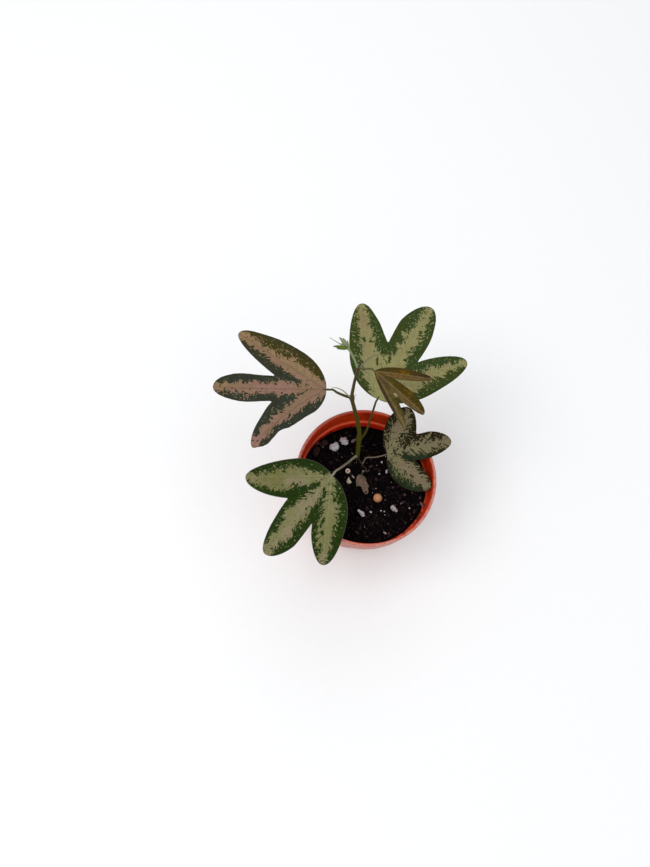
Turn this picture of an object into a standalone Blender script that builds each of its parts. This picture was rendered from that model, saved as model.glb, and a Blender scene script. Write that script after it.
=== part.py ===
"""Potted passion flower vine: a young three-lobed vine in a small round nursery pot.

Run with Blender 4.5: blender --background --python part.py
World units are metres, +Z up. The origin is the centre of the pot's flat foot,
+X runs to the side of the right-hand leaf and +Y to the back of the plant.
"""

import bpy
import bmesh
from dataclasses import dataclass
from math import atan2, cos, hypot, pi, radians, sin, sqrt
from mathutils import Matrix, Vector, noise

MM = 0.001

# Pot
POT_HEIGHT = 49.0 * MM
RIM_RADIUS = 27.5 * MM
LIP_WIDTH = 1.3 * MM
COLLAR_DEPTH = 8.9 * MM
COLLAR_FOOT_RADIUS = 26.9 * MM
WALL = 0.9 * MM
LEDGE_RADIUS = 25.2 * MM
FOOT_RADIUS = 19.6 * MM
FLOOR_THICKNESS = 1.5 * MM
POT_STEPS = 48
DRAIN_HOLES = 6
DRAIN_RADIUS = 2.2 * MM
DRAIN_CIRCLE = 12.5 * MM
DRAIN_TURN = radians(11.0)

# Soil
CLEARANCE = 0.3 * MM
SOIL_LEVEL = 38.0 * MM
SOIL_SIDE_RISE = 3.3 * MM
SOIL_BACK_FALL = 0.05
SOIL_CRUMB = 0.45 * MM
SOIL_CRUMB_SIZE = 4.5 * MM
SOIL_SHOULDER = 2.6 * MM
SOIL_RINGS = 8
SOIL_STEPS = 48
STEM_DIP = 0.5 * MM
STEM_DIP_RADIUS = 7.0 * MM

# Vine: routes are points along each centre line, in millimetres, with a radius at both ends
STEM_FOOT = Vector((-2.2, 10.6, 38.0)) * MM
STEM_RADIUS = 0.95 * MM
ROOT_DEPTH = 8.0 * MM
STEM_ROUTE_MM = [
    (-2.2, 10.6, 30.0), (-2.2, 10.6, 38.0), (-2.5, 14.5, 47.0), (-3.1, 16.7, 53.5), (-4.8, 18.8, 60.5),
    (-6.7, 20.1, 68.0), (-8.4, 21.4, 75.0), (-8.7, 22.5, 82.0), (-8.7, 23.4, 89.0), (-8.3, 24.2, 93.0),
]
STEM_RADII_MM = (0.95, 0.5)
STUB_ROUTE_MM = [(-2.2, 10.6, 38.9), (-1.0, 8.6, 39.0), (0.7, 6.0, 38.9)]
NODE_SWELLINGS_MM = [
    ((-2.0, 15.0, 49.2), 1.05), ((-8.4, 21.4, 75.0), 0.95), ((-8.3, 24.2, 93.0), 0.75),
]
TENDRIL_ROUTES_MM = {
    "upper": [
        (-8.3, 24.2, 93.0), (-6.9, 25.0, 95.2), (-6.1, 25.8, 96.6), (-4.8, 26.5, 97.6), (-3.3, 27.2, 98.0),
        (-0.9, 27.3, 98.0), (1.6, 27.5, 97.6), (3.8, 28.1, 97.0),
    ],
    "left": [(-8.4, 21.4, 75.0), (-9.9, 21.4, 77.0), (-12.4, 22.2, 79.8), (-15.1, 22.2, 81.8), (-16.9, 21.8, 81.4)],
}
TENDRIL_RADIUS_MM = 0.3
PETIOLE_END_GAP = 0.75 * MM

# Growing tip
SHOOT_ROUTE_MM = [(-8.95, 25.0, 94.2), (-10.3, 26.4, 97.0), (-11.8, 27.6, 99.5), (-12.8, 28.2, 101.0)]
SHOOT_RADII_MM = (0.55, 0.45)
SHOOT_LEAFLETS_MM = [
    ((-12.6, 28.1, 100.8), (-17.6, 28.0, 101.8), 1.0),
    ((-12.8, 28.3, 100.9), (-15.6, 30.6, 103.2), 0.8),
    ((-12.8, 28.3, 100.9), (-14.0, 30.2, 103.8), 0.7),
]
SHOOT_NEEDLE_MM = [(-13.4, 28.2, 101.2), (-15.4, 28.6, 102.4), (-18.9, 29.9, 104.0)]

# Blades
BLADE_THICKNESS = 0.65 * MM
BLADE_RINGS = 4
BASE_FULLNESS = 0.7
TIP_FULLNESS = 1.5
SINUS_BLEND = 24.0
LOBE_OUTLINE_STEPS = 40
MARGIN_SAMPLES = 360
DROOP_SPAN = 40.0 * MM
WAVE_LENGTH = 11.0 * MM
WAVE_SLANT = 0.7
WAVE_FULL_FROM_MIDRIB_MM = 6.0
STALK_SAG = 0.4 * MM

# Grains
LUMP_UNEVENNESS = 0.22
LUMP_GRAIN = 1.6
LUMP_SEED = 0.37


@dataclass(frozen=True)
class Lobe:
    """One lobe: direction from the leaf's heading in degrees, sizes in millimetres."""

    angle: float
    length: float
    left: float
    right: float
    bend: float
    left_belly: float
    right_belly: float


@dataclass(frozen=True)
class Leaf:
    """A lobed blade: where its stalk joins it, how it is held and how it bends."""

    name: str
    base_mm: tuple
    heading: float
    pitch: float
    roll: float
    droop_mm: float
    lobes: tuple
    colour: tuple
    fold: float = 0.0
    wave_mm: float = 0.35
    heart_mm: float = 4.0
    lead_mm: float = 2.6
    stalk_mm: tuple = ()
    stalk_radii_mm: tuple = (0.6, 0.5)
    outer_steps: int = 11
    inner_steps: int = 8


LEAVES = (
    Leaf(
        name="leaf_left", base_mm=(-18.1, 22.7, 79.0), heading=180, pitch=4, roll=-4, droop_mm=3.0,
        lobes=(
            Lobe(28, 32.4, 5.1, 8.5, 6.0, 0.25, 0.25),
            Lobe(0, 40.5, 5.0, 5.5, -1.9, 0.74, 0.80),
            Lobe(-33, 39.2, 6.3, 7.4, -1.7, 0.25, 0.38),
        ),
        colour=(0.090, 0.075, 0.050, 1.0),
        stalk_mm=((-8.4, 21.4, 75.0), (-11.0, 21.4, 76.6), (-14.0, 21.9, 78.2)),
    ),
    Leaf(
        name="leaf_back_right", base_mm=(1.3, 22.3, 73.0), heading=60, pitch=-10, roll=0, droop_mm=4.0,
        lobes=(
            Lobe(42, 38.5, 7.2, 8.3, -2.3, 0.40, 0.37),
            Lobe(2, 42.4, 7.2, 6.6, -1.3, 0.73, 0.65),
            Lobe(-33, 36.8, 6.1, 7.0, -1.6, 0.57, 0.44),
        ),
        colour=(0.130, 0.145, 0.060, 1.0),
        stalk_mm=((-2.1, 15.0, 49.2), (-0.6, 16.2, 53.5), (0.2, 18.8, 61.5), (0.4, 20.4, 69.0)),
    ),
    Leaf(
        name="leaf_front_left", base_mm=(-13.8, -1.6, 53.2), heading=234, pitch=3, roll=0, droop_mm=4.0,
        lobes=(
            Lobe(29, 33.2, 7.5, 5.4, 0.8, 0.45, 0.65),
            Lobe(-5, 38.1, 6.6, 6.8, 0.3, 0.74, 0.44),
            Lobe(-52, 32.8, 8.1, 7.1, -0.8, 0.52, 0.39),
        ),
        colour=(0.075, 0.105, 0.030, 1.0),
        stalk_mm=((-2.3, 11.0, 40.2), (-4.2, 9.4, 41.0), (-6.4, 7.0, 43.0), (-10.0, 2.8, 49.5)),
    ),
    Leaf(
        name="leaf_right_low", base_mm=(8.8, 9.4, 47.5), heading=13, pitch=-12, roll=8, droop_mm=1.5,
        lobes=(
            Lobe(47, 20.6, 6.2, 7.8, 1.2, 0.57, 0.25),
            Lobe(1, 26.2, 5.9, 5.5, -1.4, 0.51, 0.39),
            Lobe(-57, 21.2, 5.6, 6.4, 1.4, 0.25, 0.56),
        ),
        colour=(0.100, 0.095, 0.045, 1.0),
        heart_mm=3.0, wave_mm=0.25,
        stalk_mm=((-0.3, 7.6, 39.0), (0.3, 8.4, 40.4), (1.0, 9.2, 42.8), (3.8, 9.1, 45.2)),
        stalk_radii_mm=(0.45, 0.4),
    ),
    Leaf(
        name="leaf_young", base_mm=(-2.8, 23.6, 93.5), heading=-34, pitch=18, roll=0, droop_mm=2.0,
        lobes=(
            Lobe(34, 21.8, 1.9, 2.1, 0.0, 0.42, 0.48),
            Lobe(0, 23.0, 2.2, 2.2, 0.0, 0.50, 0.50),
            Lobe(-23, 22.0, 1.6, 2.0, 0.0, 0.45, 0.40),
        ),
        colour=(0.110, 0.080, 0.035, 1.0),
        fold=0.6, heart_mm=2.5, wave_mm=0.1, lead_mm=1.4,
        stalk_mm=((-8.3, 24.2, 93.0), (-7.0, 24.1, 93.7)),
        stalk_radii_mm=(0.45, 0.4),
    ),
)
DEAD_LEAF = Leaf(
    name="dead_leaf", base_mm=(-0.6, 3.2, 39.5), heading=-88, pitch=0, roll=0, droop_mm=0.0,
    lobes=(
        Lobe(29, 5.9, 1.2, 1.2, 0.2, 0.45, 0.60),
        Lobe(8, 8.5, 1.2, 1.4, 0.2, 0.75, 0.75),
        Lobe(-27, 5.4, 1.2, 1.6, -0.2, 0.45, 0.40),
    ),
    colour=(0.150, 0.115, 0.095, 1.0),
    heart_mm=3.0, wave_mm=0.25, outer_steps=6, inner_steps=4,
)

# Grains and chips on the soil: name, place, half sizes in millimetres, turn in degrees
PERLITE_COLOUR = (0.78, 0.77, 0.74, 1.0)
BARK_COLOUR = (0.145, 0.050, 0.022, 1.0)
LUMPS = (
    ("perlite_back_left", (-11.6, 14.6), (2.1, 1.6, 1.2), 20, PERLITE_COLOUR),
    ("perlite_back", (-7.7, 17.4), (1.8, 1.5, 1.1), -35, PERLITE_COLOUR),
    ("perlite_front", (-1.2, -12.7), (1.7, 0.9, 0.8), -42, PERLITE_COLOUR),
    ("perlite_right", (11.9, -10.9), (1.6, 0.9, 0.8), -48, PERLITE_COLOUR),
    ("perlite_shard", (-5.9, 0.7), (1.1, 1.5, 0.7), 10, PERLITE_COLOUR),
    ("bark_left", (-19.0, 12.0), (2.2, 1.2, 0.8), 70, BARK_COLOUR),
    ("bark_back_left", (-15.8, 16.0), (1.8, 1.1, 0.7), 35, BARK_COLOUR),
)
PRILLS = (
    ("prill_tan", (5.4, -6.7), 1.7, (0.420, 0.200, 0.070, 1.0)),
    ("prill_pale", (-6.2, 4.6), 1.0, (0.520, 0.440, 0.360, 1.0)),
)

POT_COLOUR = (0.400, 0.098, 0.045, 1.0)
SOIL_COLOUR = (0.010, 0.007, 0.006, 1.0)
STEM_COLOUR = (0.085, 0.105, 0.022, 1.0)
SHOOT_COLOUR = (0.260, 0.330, 0.170, 1.0)


def clear_scene():
    for old in list(bpy.data.objects):
        bpy.data.objects.remove(old, do_unlink=True)


def collection(name):
    group = bpy.data.collections.new(name)
    bpy.context.scene.collection.children.link(group)
    return group


def material(name, colour, roughness, metallic=0.0):
    mat = bpy.data.materials.new(name)
    mat.use_nodes = True
    shader = mat.node_tree.nodes["Principled BSDF"]
    shader.inputs["Base Color"].default_value = colour
    shader.inputs["Roughness"].default_value = roughness
    shader.inputs["Metallic"].default_value = metallic
    mat.diffuse_color = colour
    return mat


def mesh_object(name, bm, group):
    mesh = bpy.data.meshes.new(name)
    bm.to_mesh(mesh)
    bm.free()
    obj = bpy.data.objects.new(name, mesh)
    group.objects.link(obj)
    return obj


def baked(obj):
    """Replace an object that has modifiers, or is a curve, by its plain welded mesh."""
    evaluated = obj.evaluated_get(bpy.context.evaluated_depsgraph_get())
    mesh = bpy.data.meshes.new_from_object(evaluated)
    result = bpy.data.objects.new(obj.name + "_mesh", mesh)
    result.matrix_world = obj.matrix_world
    for group in obj.users_collection:
        group.objects.link(result)
    name = obj.name
    bpy.data.objects.remove(obj, do_unlink=True)
    result.name = name
    bm = bmesh.new()
    bm.from_mesh(mesh)
    bmesh.ops.remove_doubles(bm, verts=bm.verts, dist=0.005 * MM)
    bm.to_mesh(mesh)
    bm.free()
    return result


def shade(obj, angle_degrees):
    obj.data.shade_smooth()
    obj.data.set_sharp_from_angle(angle=radians(angle_degrees))


def turned(name, profile, steps, group):
    """A profile of (radius, height) pairs turned about Z, run down its outer side."""
    bm = bmesh.new()
    points = [bm.verts.new((radius, 0.0, height)) for radius, height in profile]
    for first, second in zip(points, points[1:]):
        bm.edges.new((first, second))
    obj = mesh_object(name, bm, group)
    screw = obj.modifiers.new("turn", "SCREW")
    screw.steps = steps
    screw.render_steps = steps
    screw.use_merge_vertices = True
    screw.merge_threshold = 0.01 * MM
    screw.use_normal_calculate = False
    return obj


def cylinder_cutter(name, centre, radius, depth, sides, cutters):
    bm = bmesh.new()
    bmesh.ops.create_cone(bm, cap_ends=True, segments=sides, radius1=radius, radius2=radius, depth=depth)
    obj = mesh_object(name, bm, cutters)
    obj.location = centre
    obj.hide_render = True
    obj.display_type = "WIRE"
    return obj


def cut(target, cutter):
    boolean = target.modifiers.new("cut_" + cutter.name, "BOOLEAN")
    boolean.operation = "DIFFERENCE"
    boolean.solver = "EXACT"
    boolean.object = cutter


def inner_radius(height):
    """Radius of the pot's inner wall at a height."""
    ledge_height = POT_HEIGHT - COLLAR_DEPTH
    if height > ledge_height:
        return COLLAR_FOOT_RADIUS - WALL
    share = (height - FLOOR_THICKNESS) / (ledge_height - FLOOR_THICKNESS)
    return (FOOT_RADIUS - WALL) + share * (LEDGE_RADIUS - FOOT_RADIUS + WALL)


def make_pot(parts, cutters):
    ledge_height = POT_HEIGHT - COLLAR_DEPTH
    lip_inner = RIM_RADIUS - LIP_WIDTH
    lip_round = LIP_WIDTH / 2
    lip_middle = RIM_RADIUS - lip_round
    collar_inner = inner_radius(POT_HEIGHT)
    lip = [(lip_middle - lip_round * cos(t), POT_HEIGHT - lip_round + lip_round * sin(t))
           for t in (0.0, pi / 4, pi / 2, 3 * pi / 4, pi)]
    profile = [
        (0.0, FLOOR_THICKNESS),
        (inner_radius(FLOOR_THICKNESS), FLOOR_THICKNESS),
        (LEDGE_RADIUS, ledge_height - 0.2 * MM),
        (LEDGE_RADIUS + 0.2 * MM, ledge_height),
        (collar_inner, ledge_height),
        (lip_inner - 0.15 * MM, POT_HEIGHT - 2.0 * MM),
    ]
    profile += lip
    profile += [
        (RIM_RADIUS - 0.05 * MM, POT_HEIGHT - 1.8 * MM),
        (RIM_RADIUS - 0.3 * MM, POT_HEIGHT - 2.0 * MM),
        (COLLAR_FOOT_RADIUS, ledge_height - WALL),
        (COLLAR_FOOT_RADIUS - 0.2 * MM, ledge_height - WALL - 0.2 * MM),
        (LEDGE_RADIUS + WALL * 0.8, ledge_height - WALL - 0.2 * MM),
        (FOOT_RADIUS + 0.3 * MM, 1.2 * MM),
        (FOOT_RADIUS - 0.6 * MM, 0.0),
        (0.0, 0.0),
    ]
    pot = turned("pot", profile, POT_STEPS, parts)
    pot.data.materials.append(material("pot_plastic", POT_COLOUR, 0.42))
    for index in range(DRAIN_HOLES):
        angle = 2 * pi * index / DRAIN_HOLES + DRAIN_TURN
        centre = Vector((DRAIN_CIRCLE * cos(angle), DRAIN_CIRCLE * sin(angle), FLOOR_THICKNESS / 2))
        cut(pot, cylinder_cutter(f"drain_{index}", centre, DRAIN_RADIUS, 4 * FLOOR_THICKNESS, 12, cutters))
    shade(pot, 35)
    return pot


def soil_height(x, y):
    """Height of the soil's surface: a shallow bowl, higher at both sides, with crumbs."""
    side = x / LEDGE_RADIUS
    level = SOIL_LEVEL + SOIL_SIDE_RISE * side * side - SOIL_BACK_FALL * y
    away = hypot(x - STEM_FOOT.x, y - STEM_FOOT.y + 2.5 * MM) / STEM_DIP_RADIUS
    calm = min(1.0, away)
    crumbs = noise.noise(Vector((x, y, 0.0)) / SOIL_CRUMB_SIZE) * SOIL_CRUMB
    return level + crumbs * calm * calm - STEM_DIP * max(0.0, 1.0 - away * away)


def make_soil(parts, cutters):
    top = SOIL_LEVEL
    edge = inner_radius(top) - CLEARANCE
    rings = [(edge * index / SOIL_RINGS, top) for index in range(SOIL_RINGS + 1)]
    floor = FLOOR_THICKNESS + CLEARANCE
    sides = [
        (inner_radius(top - SOIL_SHOULDER) - CLEARANCE, top - SOIL_SHOULDER),
        (inner_radius(floor) - CLEARANCE, floor),
        (0.0, floor),
    ]
    soil = baked(turned("soil", rings + sides, SOIL_STEPS, parts))
    for vertex in soil.data.vertices:
        place = vertex.co
        radius = hypot(place.x, place.y)
        if place.z < top - SOIL_SHOULDER - MM:
            continue
        height = soil_height(place.x, place.y) - (top - place.z)
        if radius > edge - MM:
            fitted = min(inner_radius(height), LEDGE_RADIUS) - CLEARANCE
            place.x *= fitted / radius
            place.y *= fitted / radius
        place.z = height
    soil.data.materials.append(material("potting_soil", SOIL_COLOUR, 0.95))
    depth = ROOT_DEPTH + CLEARANCE
    hole = cylinder_cutter("stem_hole", STEM_FOOT, STEM_RADIUS + CLEARANCE, 2 * depth, 16, cutters)
    cut(soil, hole)
    shade(soil, 50)
    return soil


def smooth_route(points, per_span):
    """Points of a Catmull-Rom curve through a route's own points."""
    padded = [points[0]] + list(points) + [points[-1]]
    route = []
    for before, start, end, after in zip(padded, padded[1:], padded[2:], padded[3:]):
        for step in range(per_span):
            t = step / per_span
            route.append(0.5 * (
                2 * start + (end - before) * t + (2 * before - 5 * start + 4 * end - after) * t * t
                + (3 * start - before - 3 * end + after) * t * t * t
            ))
    route.append(points[-1].copy())
    return route


def rod(name, points, radii_mm, group, per_span=2, sides=1):
    """A round stem along a route, tapering from its first radius to its second."""
    route = smooth_route(points, per_span)
    curve = bpy.data.curves.new(name, "CURVE")
    curve.dimensions = "3D"
    curve.bevel_depth = MM
    curve.bevel_resolution = sides
    curve.use_fill_caps = True
    spline = curve.splines.new("POLY")
    spline.points.add(len(route) - 1)
    for index, place in enumerate(route):
        share = index / (len(route) - 1)
        spline.points[index].co = (*place, 1.0)
        spline.points[index].radius = radii_mm[0] + share * (radii_mm[1] - radii_mm[0])
    obj = bpy.data.objects.new(name, curve)
    group.objects.link(obj)
    return baked(obj)


def millimetres(points):
    return [Vector(point) * MM for point in points]


def ball(name, centre, radius, group, rings=6):
    bm = bmesh.new()
    bmesh.ops.create_uvsphere(bm, u_segments=rings + 4, v_segments=rings, radius=radius)
    obj = mesh_object(name, bm, group)
    obj.location = centre
    return obj


def fuse(first, pieces):
    """Join a node's pieces into its first piece with one union on a collection."""
    union = first.modifiers.new("union", "BOOLEAN")
    union.operation = "UNION"
    union.solver = "EXACT"
    union.operand_type = "COLLECTION"
    union.collection = pieces
    fused = baked(first)
    for piece in list(pieces.objects):
        bpy.data.objects.remove(piece, do_unlink=True)
    bpy.data.collections.remove(pieces)
    return fused


def leaf_frame(leaf):
    """Matrix from the blade's own frame to the world: +X along its heading, +Z out of its face."""
    turn = Matrix.Rotation(radians(leaf.heading), 4, "Z")
    nod = Matrix.Rotation(radians(leaf.pitch), 4, "Y")
    lean = Matrix.Rotation(radians(leaf.roll), 4, "X")
    return Matrix.Translation(Vector(leaf.base_mm) * MM) @ turn @ nod @ lean


def stalk_route(leaf):
    """A leaf stalk's points: its own route, then a lead in line with the blade."""
    frame = leaf_frame(leaf)
    middle = -BLADE_THICKNESS / 2
    lead = frame @ Vector((-leaf.lead_mm * MM, 0.0, middle - STALK_SAG))
    end = frame @ Vector((-PETIOLE_END_GAP, 0.0, middle))
    return millimetres(leaf.stalk_mm) + [lead, end]


def make_stem(parts):
    pieces = collection("stem_pieces")
    stem = rod("vine_stem", millimetres(STEM_ROUTE_MM), STEM_RADII_MM, parts, sides=2)
    rod("stub", millimetres(STUB_ROUTE_MM), (0.75, 0.6), pieces)
    for name, route in TENDRIL_ROUTES_MM.items():
        rod("tendril_" + name, millimetres(route), (TENDRIL_RADIUS_MM, TENDRIL_RADIUS_MM), pieces)
    for leaf in LEAVES:
        rod("stalk_" + leaf.name, stalk_route(leaf), leaf.stalk_radii_mm, pieces)
    for index, (place, radius) in enumerate(NODE_SWELLINGS_MM):
        ball(f"swelling_{index}", Vector(place) * MM, radius * MM, pieces)
    stem = fuse(stem, pieces)
    stem.data.materials.append(material("stem_green", STEM_COLOUR, 0.55))
    shade(stem, 60)
    return stem


def leaflet(name, start, end, half_width, group):
    """A folded bud leaflet: a slim pointed spindle from its start to its tip."""
    bm = bmesh.new()
    bmesh.ops.create_uvsphere(bm, u_segments=8, v_segments=8, radius=0.5)
    length = (end - start).length
    for vertex in bm.verts:
        along = vertex.co.z + 0.5
        pinch = 1.0 - 0.45 * along
        vertex.co.x *= 2 * half_width * pinch
        vertex.co.y *= 1.1 * half_width * pinch
        vertex.co.z = along * length
    obj = mesh_object(name, bm, group)
    aim = (end - start).to_track_quat("Z", "X").to_matrix().to_4x4()
    obj.matrix_world = Matrix.Translation(start) @ aim
    return obj


def make_shoot(parts):
    pieces = collection("shoot_pieces")
    shoot = rod("shoot_tip", millimetres(SHOOT_ROUTE_MM), SHOOT_RADII_MM, parts)
    for index, (start, end, half_width) in enumerate(SHOOT_LEAFLETS_MM):
        leaflet(f"leaflet_{index}", Vector(start) * MM, Vector(end) * MM, half_width * MM, pieces)
    rod("needle", millimetres(SHOOT_NEEDLE_MM), (0.32, 0.3), pieces)
    shoot = fuse(shoot, pieces)
    shoot.data.materials.append(material("shoot_green", SHOOT_COLOUR, 0.6))
    shade(shoot, 60)
    return shoot


def half_width(share, width, belly):
    """Half width of a lobe at a share of its length, widest at the belly and round at the tip."""
    if share < belly:
        return width * sin(pi / 2 * (share / belly) ** BASE_FULLNESS)
    return width * sqrt(1.0 - ((share - belly) / (1.0 - belly)) ** TIP_FULLNESS)


def lobe_outline(lobe):
    """Closed outline of one lobe in the blade's plane, from its base round its tip."""
    angle = radians(lobe.angle)
    along = Vector((cos(angle), sin(angle)))
    across = Vector((-sin(angle), cos(angle)))
    shares = [(1.0 - cos(pi * k / LOBE_OUTLINE_STEPS)) / 2 for k in range(LOBE_OUTLINE_STEPS + 1)]

    def point(share, offset):
        sideways = lobe.bend * share * share + offset
        return (along * (share * lobe.length) + across * sideways) * MM

    right = [point(s, -half_width(s, lobe.right, lobe.right_belly)) for s in shares]
    left = [point(s, half_width(s, lobe.left, lobe.left_belly)) for s in shares]
    return right + left[-2:0:-1]


def reach(outline, centre, angle):
    """Distance from a centre to the furthest side of an outline in one direction."""
    direction = Vector((cos(angle), sin(angle)))
    furthest = 0.0
    for first, second in zip(outline, outline[1:] + outline[:1]):
        a = first - centre
        b = second - centre
        cross_a = a.x * direction.y - a.y * direction.x
        cross_b = b.x * direction.y - b.y * direction.x
        if cross_a * cross_b > 0.0 or cross_a == cross_b:
            continue
        hit = a + (b - a) * (cross_a / (cross_a - cross_b))
        furthest = max(furthest, hit.dot(direction))
    return furthest


def blade_margin(leaf):
    """Points round the whole blade: from the stalk round the three lobes, with rounded bays between."""
    centre = Vector((leaf.heart_mm * MM, 0.0))
    outlines = [lobe_outline(lobe) for lobe in leaf.lobes]

    def radius(angle):
        total = sum((reach(outline, centre, angle) / MM) ** SINUS_BLEND for outline in outlines)
        return total ** (1.0 / SINUS_BLEND) * MM

    angles = [-pi + 2 * pi * k / MARGIN_SAMPLES for k in range(MARGIN_SAMPLES + 1)]
    radii = [radius(angle) for angle in angles]
    marks = [0]
    tips = sorted(tip_angle(lobe, centre) for lobe in leaf.lobes)
    for index, tip in enumerate(tips):
        tip_step = round((tip + pi) / (2 * pi) * MARGIN_SAMPLES)
        if index > 0:
            bay = range(marks[-1], tip_step)
            marks.append(min(bay, key=lambda k: radii[k]))
        marks.append(tip_step)
    marks.append(MARGIN_SAMPLES)
    ring = [centre + Vector((cos(a), sin(a))) * r for a, r in zip(angles, radii)]
    margin = []
    for number, (start, end) in enumerate(zip(marks, marks[1:])):
        outer = number in (0, len(marks) - 2)
        margin += evenly(ring[start:end + 1], leaf.outer_steps if outer else leaf.inner_steps)
    return centre, margin


def tip_angle(lobe, centre):
    angle = radians(lobe.angle)
    tip = Vector((cos(angle) * lobe.length - sin(angle) * lobe.bend,
                  sin(angle) * lobe.length + cos(angle) * lobe.bend)) * MM - centre
    return atan2(tip.y, tip.x)


def evenly(points, count):
    """Points spaced evenly along a run of points, without the last one."""
    lengths = [0.0]
    for first, second in zip(points, points[1:]):
        lengths.append(lengths[-1] + (second - first).length)
    picked = []
    segment = 0
    for step in range(count):
        target = lengths[-1] * step / count
        while lengths[segment + 1] < target:
            segment += 1
        share = (target - lengths[segment]) / (lengths[segment + 1] - lengths[segment])
        picked.append(points[segment].lerp(points[segment + 1], share))
    return picked


def midrib_offset(leaf, x, y):
    """Distance in millimetres from the nearest lobe's midrib, for points of the blade's plane."""
    nearest = 1000.0
    for lobe in leaf.lobes:
        angle = radians(lobe.angle)
        along = (x * cos(angle) + y * sin(angle)) / MM
        across = (y * cos(angle) - x * sin(angle)) / MM
        share = max(0.0, min(1.0, along / lobe.length))
        offset = abs(across - lobe.bend * share * share)
        if along < 0.0:
            offset = hypot(along, across)
        nearest = min(nearest, offset)
    return nearest


def blade_height(leaf, x, y):
    """Bend of the blade: it droops outward, waves at its margin and may fold up from its midribs."""
    span = (x * x + y * y) / (DROOP_SPAN * DROOP_SPAN)
    offset = midrib_offset(leaf, x, y)
    phase = 2 * pi * (x + WAVE_SLANT * y) / WAVE_LENGTH
    wave = leaf.wave_mm * MM * sin(phase) * min(1.0, offset / WAVE_FULL_FROM_MIDRIB_MM)
    return wave + leaf.fold * offset * MM - leaf.droop_mm * MM * span


def make_leaf(leaf, parts):
    """A lobed blade: a grid wrapped round the heart of the leaf, bent, then thickened downward."""
    centre, margin = blade_margin(leaf)
    around = len(margin)
    bm = bmesh.new()
    bmesh.ops.create_grid(bm, x_segments=around, y_segments=BLADE_RINGS, size=1.0)
    for vertex in bm.verts:
        column = round((vertex.co.x + 1.0) / 2.0 * around) % around
        share = round((vertex.co.y + 1.0) / 2.0 * BLADE_RINGS) / BLADE_RINGS
        place = centre.lerp(margin[column], share)
        vertex.co = (place.x, place.y, 0.0)
    bmesh.ops.remove_doubles(bm, verts=bm.verts, dist=0.001 * MM)
    bmesh.ops.triangulate(bm, faces=bm.faces)
    bm.normal_update()
    if sum(face.normal.z for face in bm.faces) < 0.0:
        bmesh.ops.reverse_faces(bm, faces=bm.faces)
    for vertex in bm.verts:
        vertex.co.z = blade_height(leaf, vertex.co.x, vertex.co.y)
    obj = mesh_object(leaf.name, bm, parts)
    obj.matrix_world = leaf_frame(leaf)
    thick = obj.modifiers.new("thickness", "SOLIDIFY")
    thick.thickness = BLADE_THICKNESS
    thick.offset = -1.0
    obj.data.materials.append(material(leaf.name + "_blade", leaf.colour, 0.5))
    shade(obj, 45)
    return obj


def seat_height(x, y, spread):
    """Highest soil under a small piece of a given half width, plus the clearance it lies at."""
    around = [(0.0, 0.0)] + [(cos(k * pi / 4), sin(k * pi / 4)) for k in range(8)]
    return max(soil_height(x + spread * dx, y + spread * dy) for dx, dy in around) + CLEARANCE


def make_lump(name, place, half_sizes, turn, colour, parts):
    bm = bmesh.new()
    bmesh.ops.create_icosphere(bm, subdivisions=2, radius=1.0)
    seed = Vector((place[0], place[1], 0.0)) * LUMP_SEED
    for vertex in bm.verts:
        vertex.co *= 1.0 + LUMP_UNEVENNESS * noise.noise(vertex.co * LUMP_GRAIN + seed)
    bmesh.ops.scale(bm, vec=Vector(half_sizes) * MM, verts=bm.verts)
    lowest = min(vertex.co.z for vertex in bm.verts)
    obj = mesh_object(name, bm, parts)
    x, y = place[0] * MM, place[1] * MM
    obj.location = (x, y, seat_height(x, y, max(half_sizes) * MM) - lowest)
    obj.rotation_euler.z = radians(turn)
    obj.data.materials.append(material(name + "_grain", colour, 0.9))
    shade(obj, 40)
    return obj


def make_prill(name, place, radius, colour, parts):
    x, y = place[0] * MM, place[1] * MM
    obj = ball(name, Vector((x, y, seat_height(x, y, radius * MM) + radius * MM)), radius * MM, parts, 8)
    obj.data.materials.append(material(name + "_grain", colour, 0.45))
    shade(obj, 60)
    return obj


def main():
    clear_scene()
    parts = collection("potted_passion_flower_vine")
    cutters = collection("cutters")
    make_pot(parts, cutters)
    make_soil(parts, cutters)
    make_stem(parts)
    make_shoot(parts)
    for leaf in LEAVES + (DEAD_LEAF,):
        make_leaf(leaf, parts)
    for lump in LUMPS:
        make_lump(*lump, parts)
    for prill in PRILLS:
        make_prill(*prill, parts)


main()
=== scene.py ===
"""Looks of a potted passion flower vine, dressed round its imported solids.

World units are metres, +Z up. The origin is the centre of the pot's flat foot, +X runs to the
side of the low right leaf and +Y to the back of the plant. Sizes named with _mm are in
millimetres and are turned into metres where a mesh is placed.
"""

import logging
import random
from dataclasses import dataclass
from enum import Enum
from math import cos, hypot, pi, radians, sin
from typing import Callable, Sequence, Union

import bmesh
import bpy
import numpy as np
from mathutils import Matrix, Vector, noise


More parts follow.
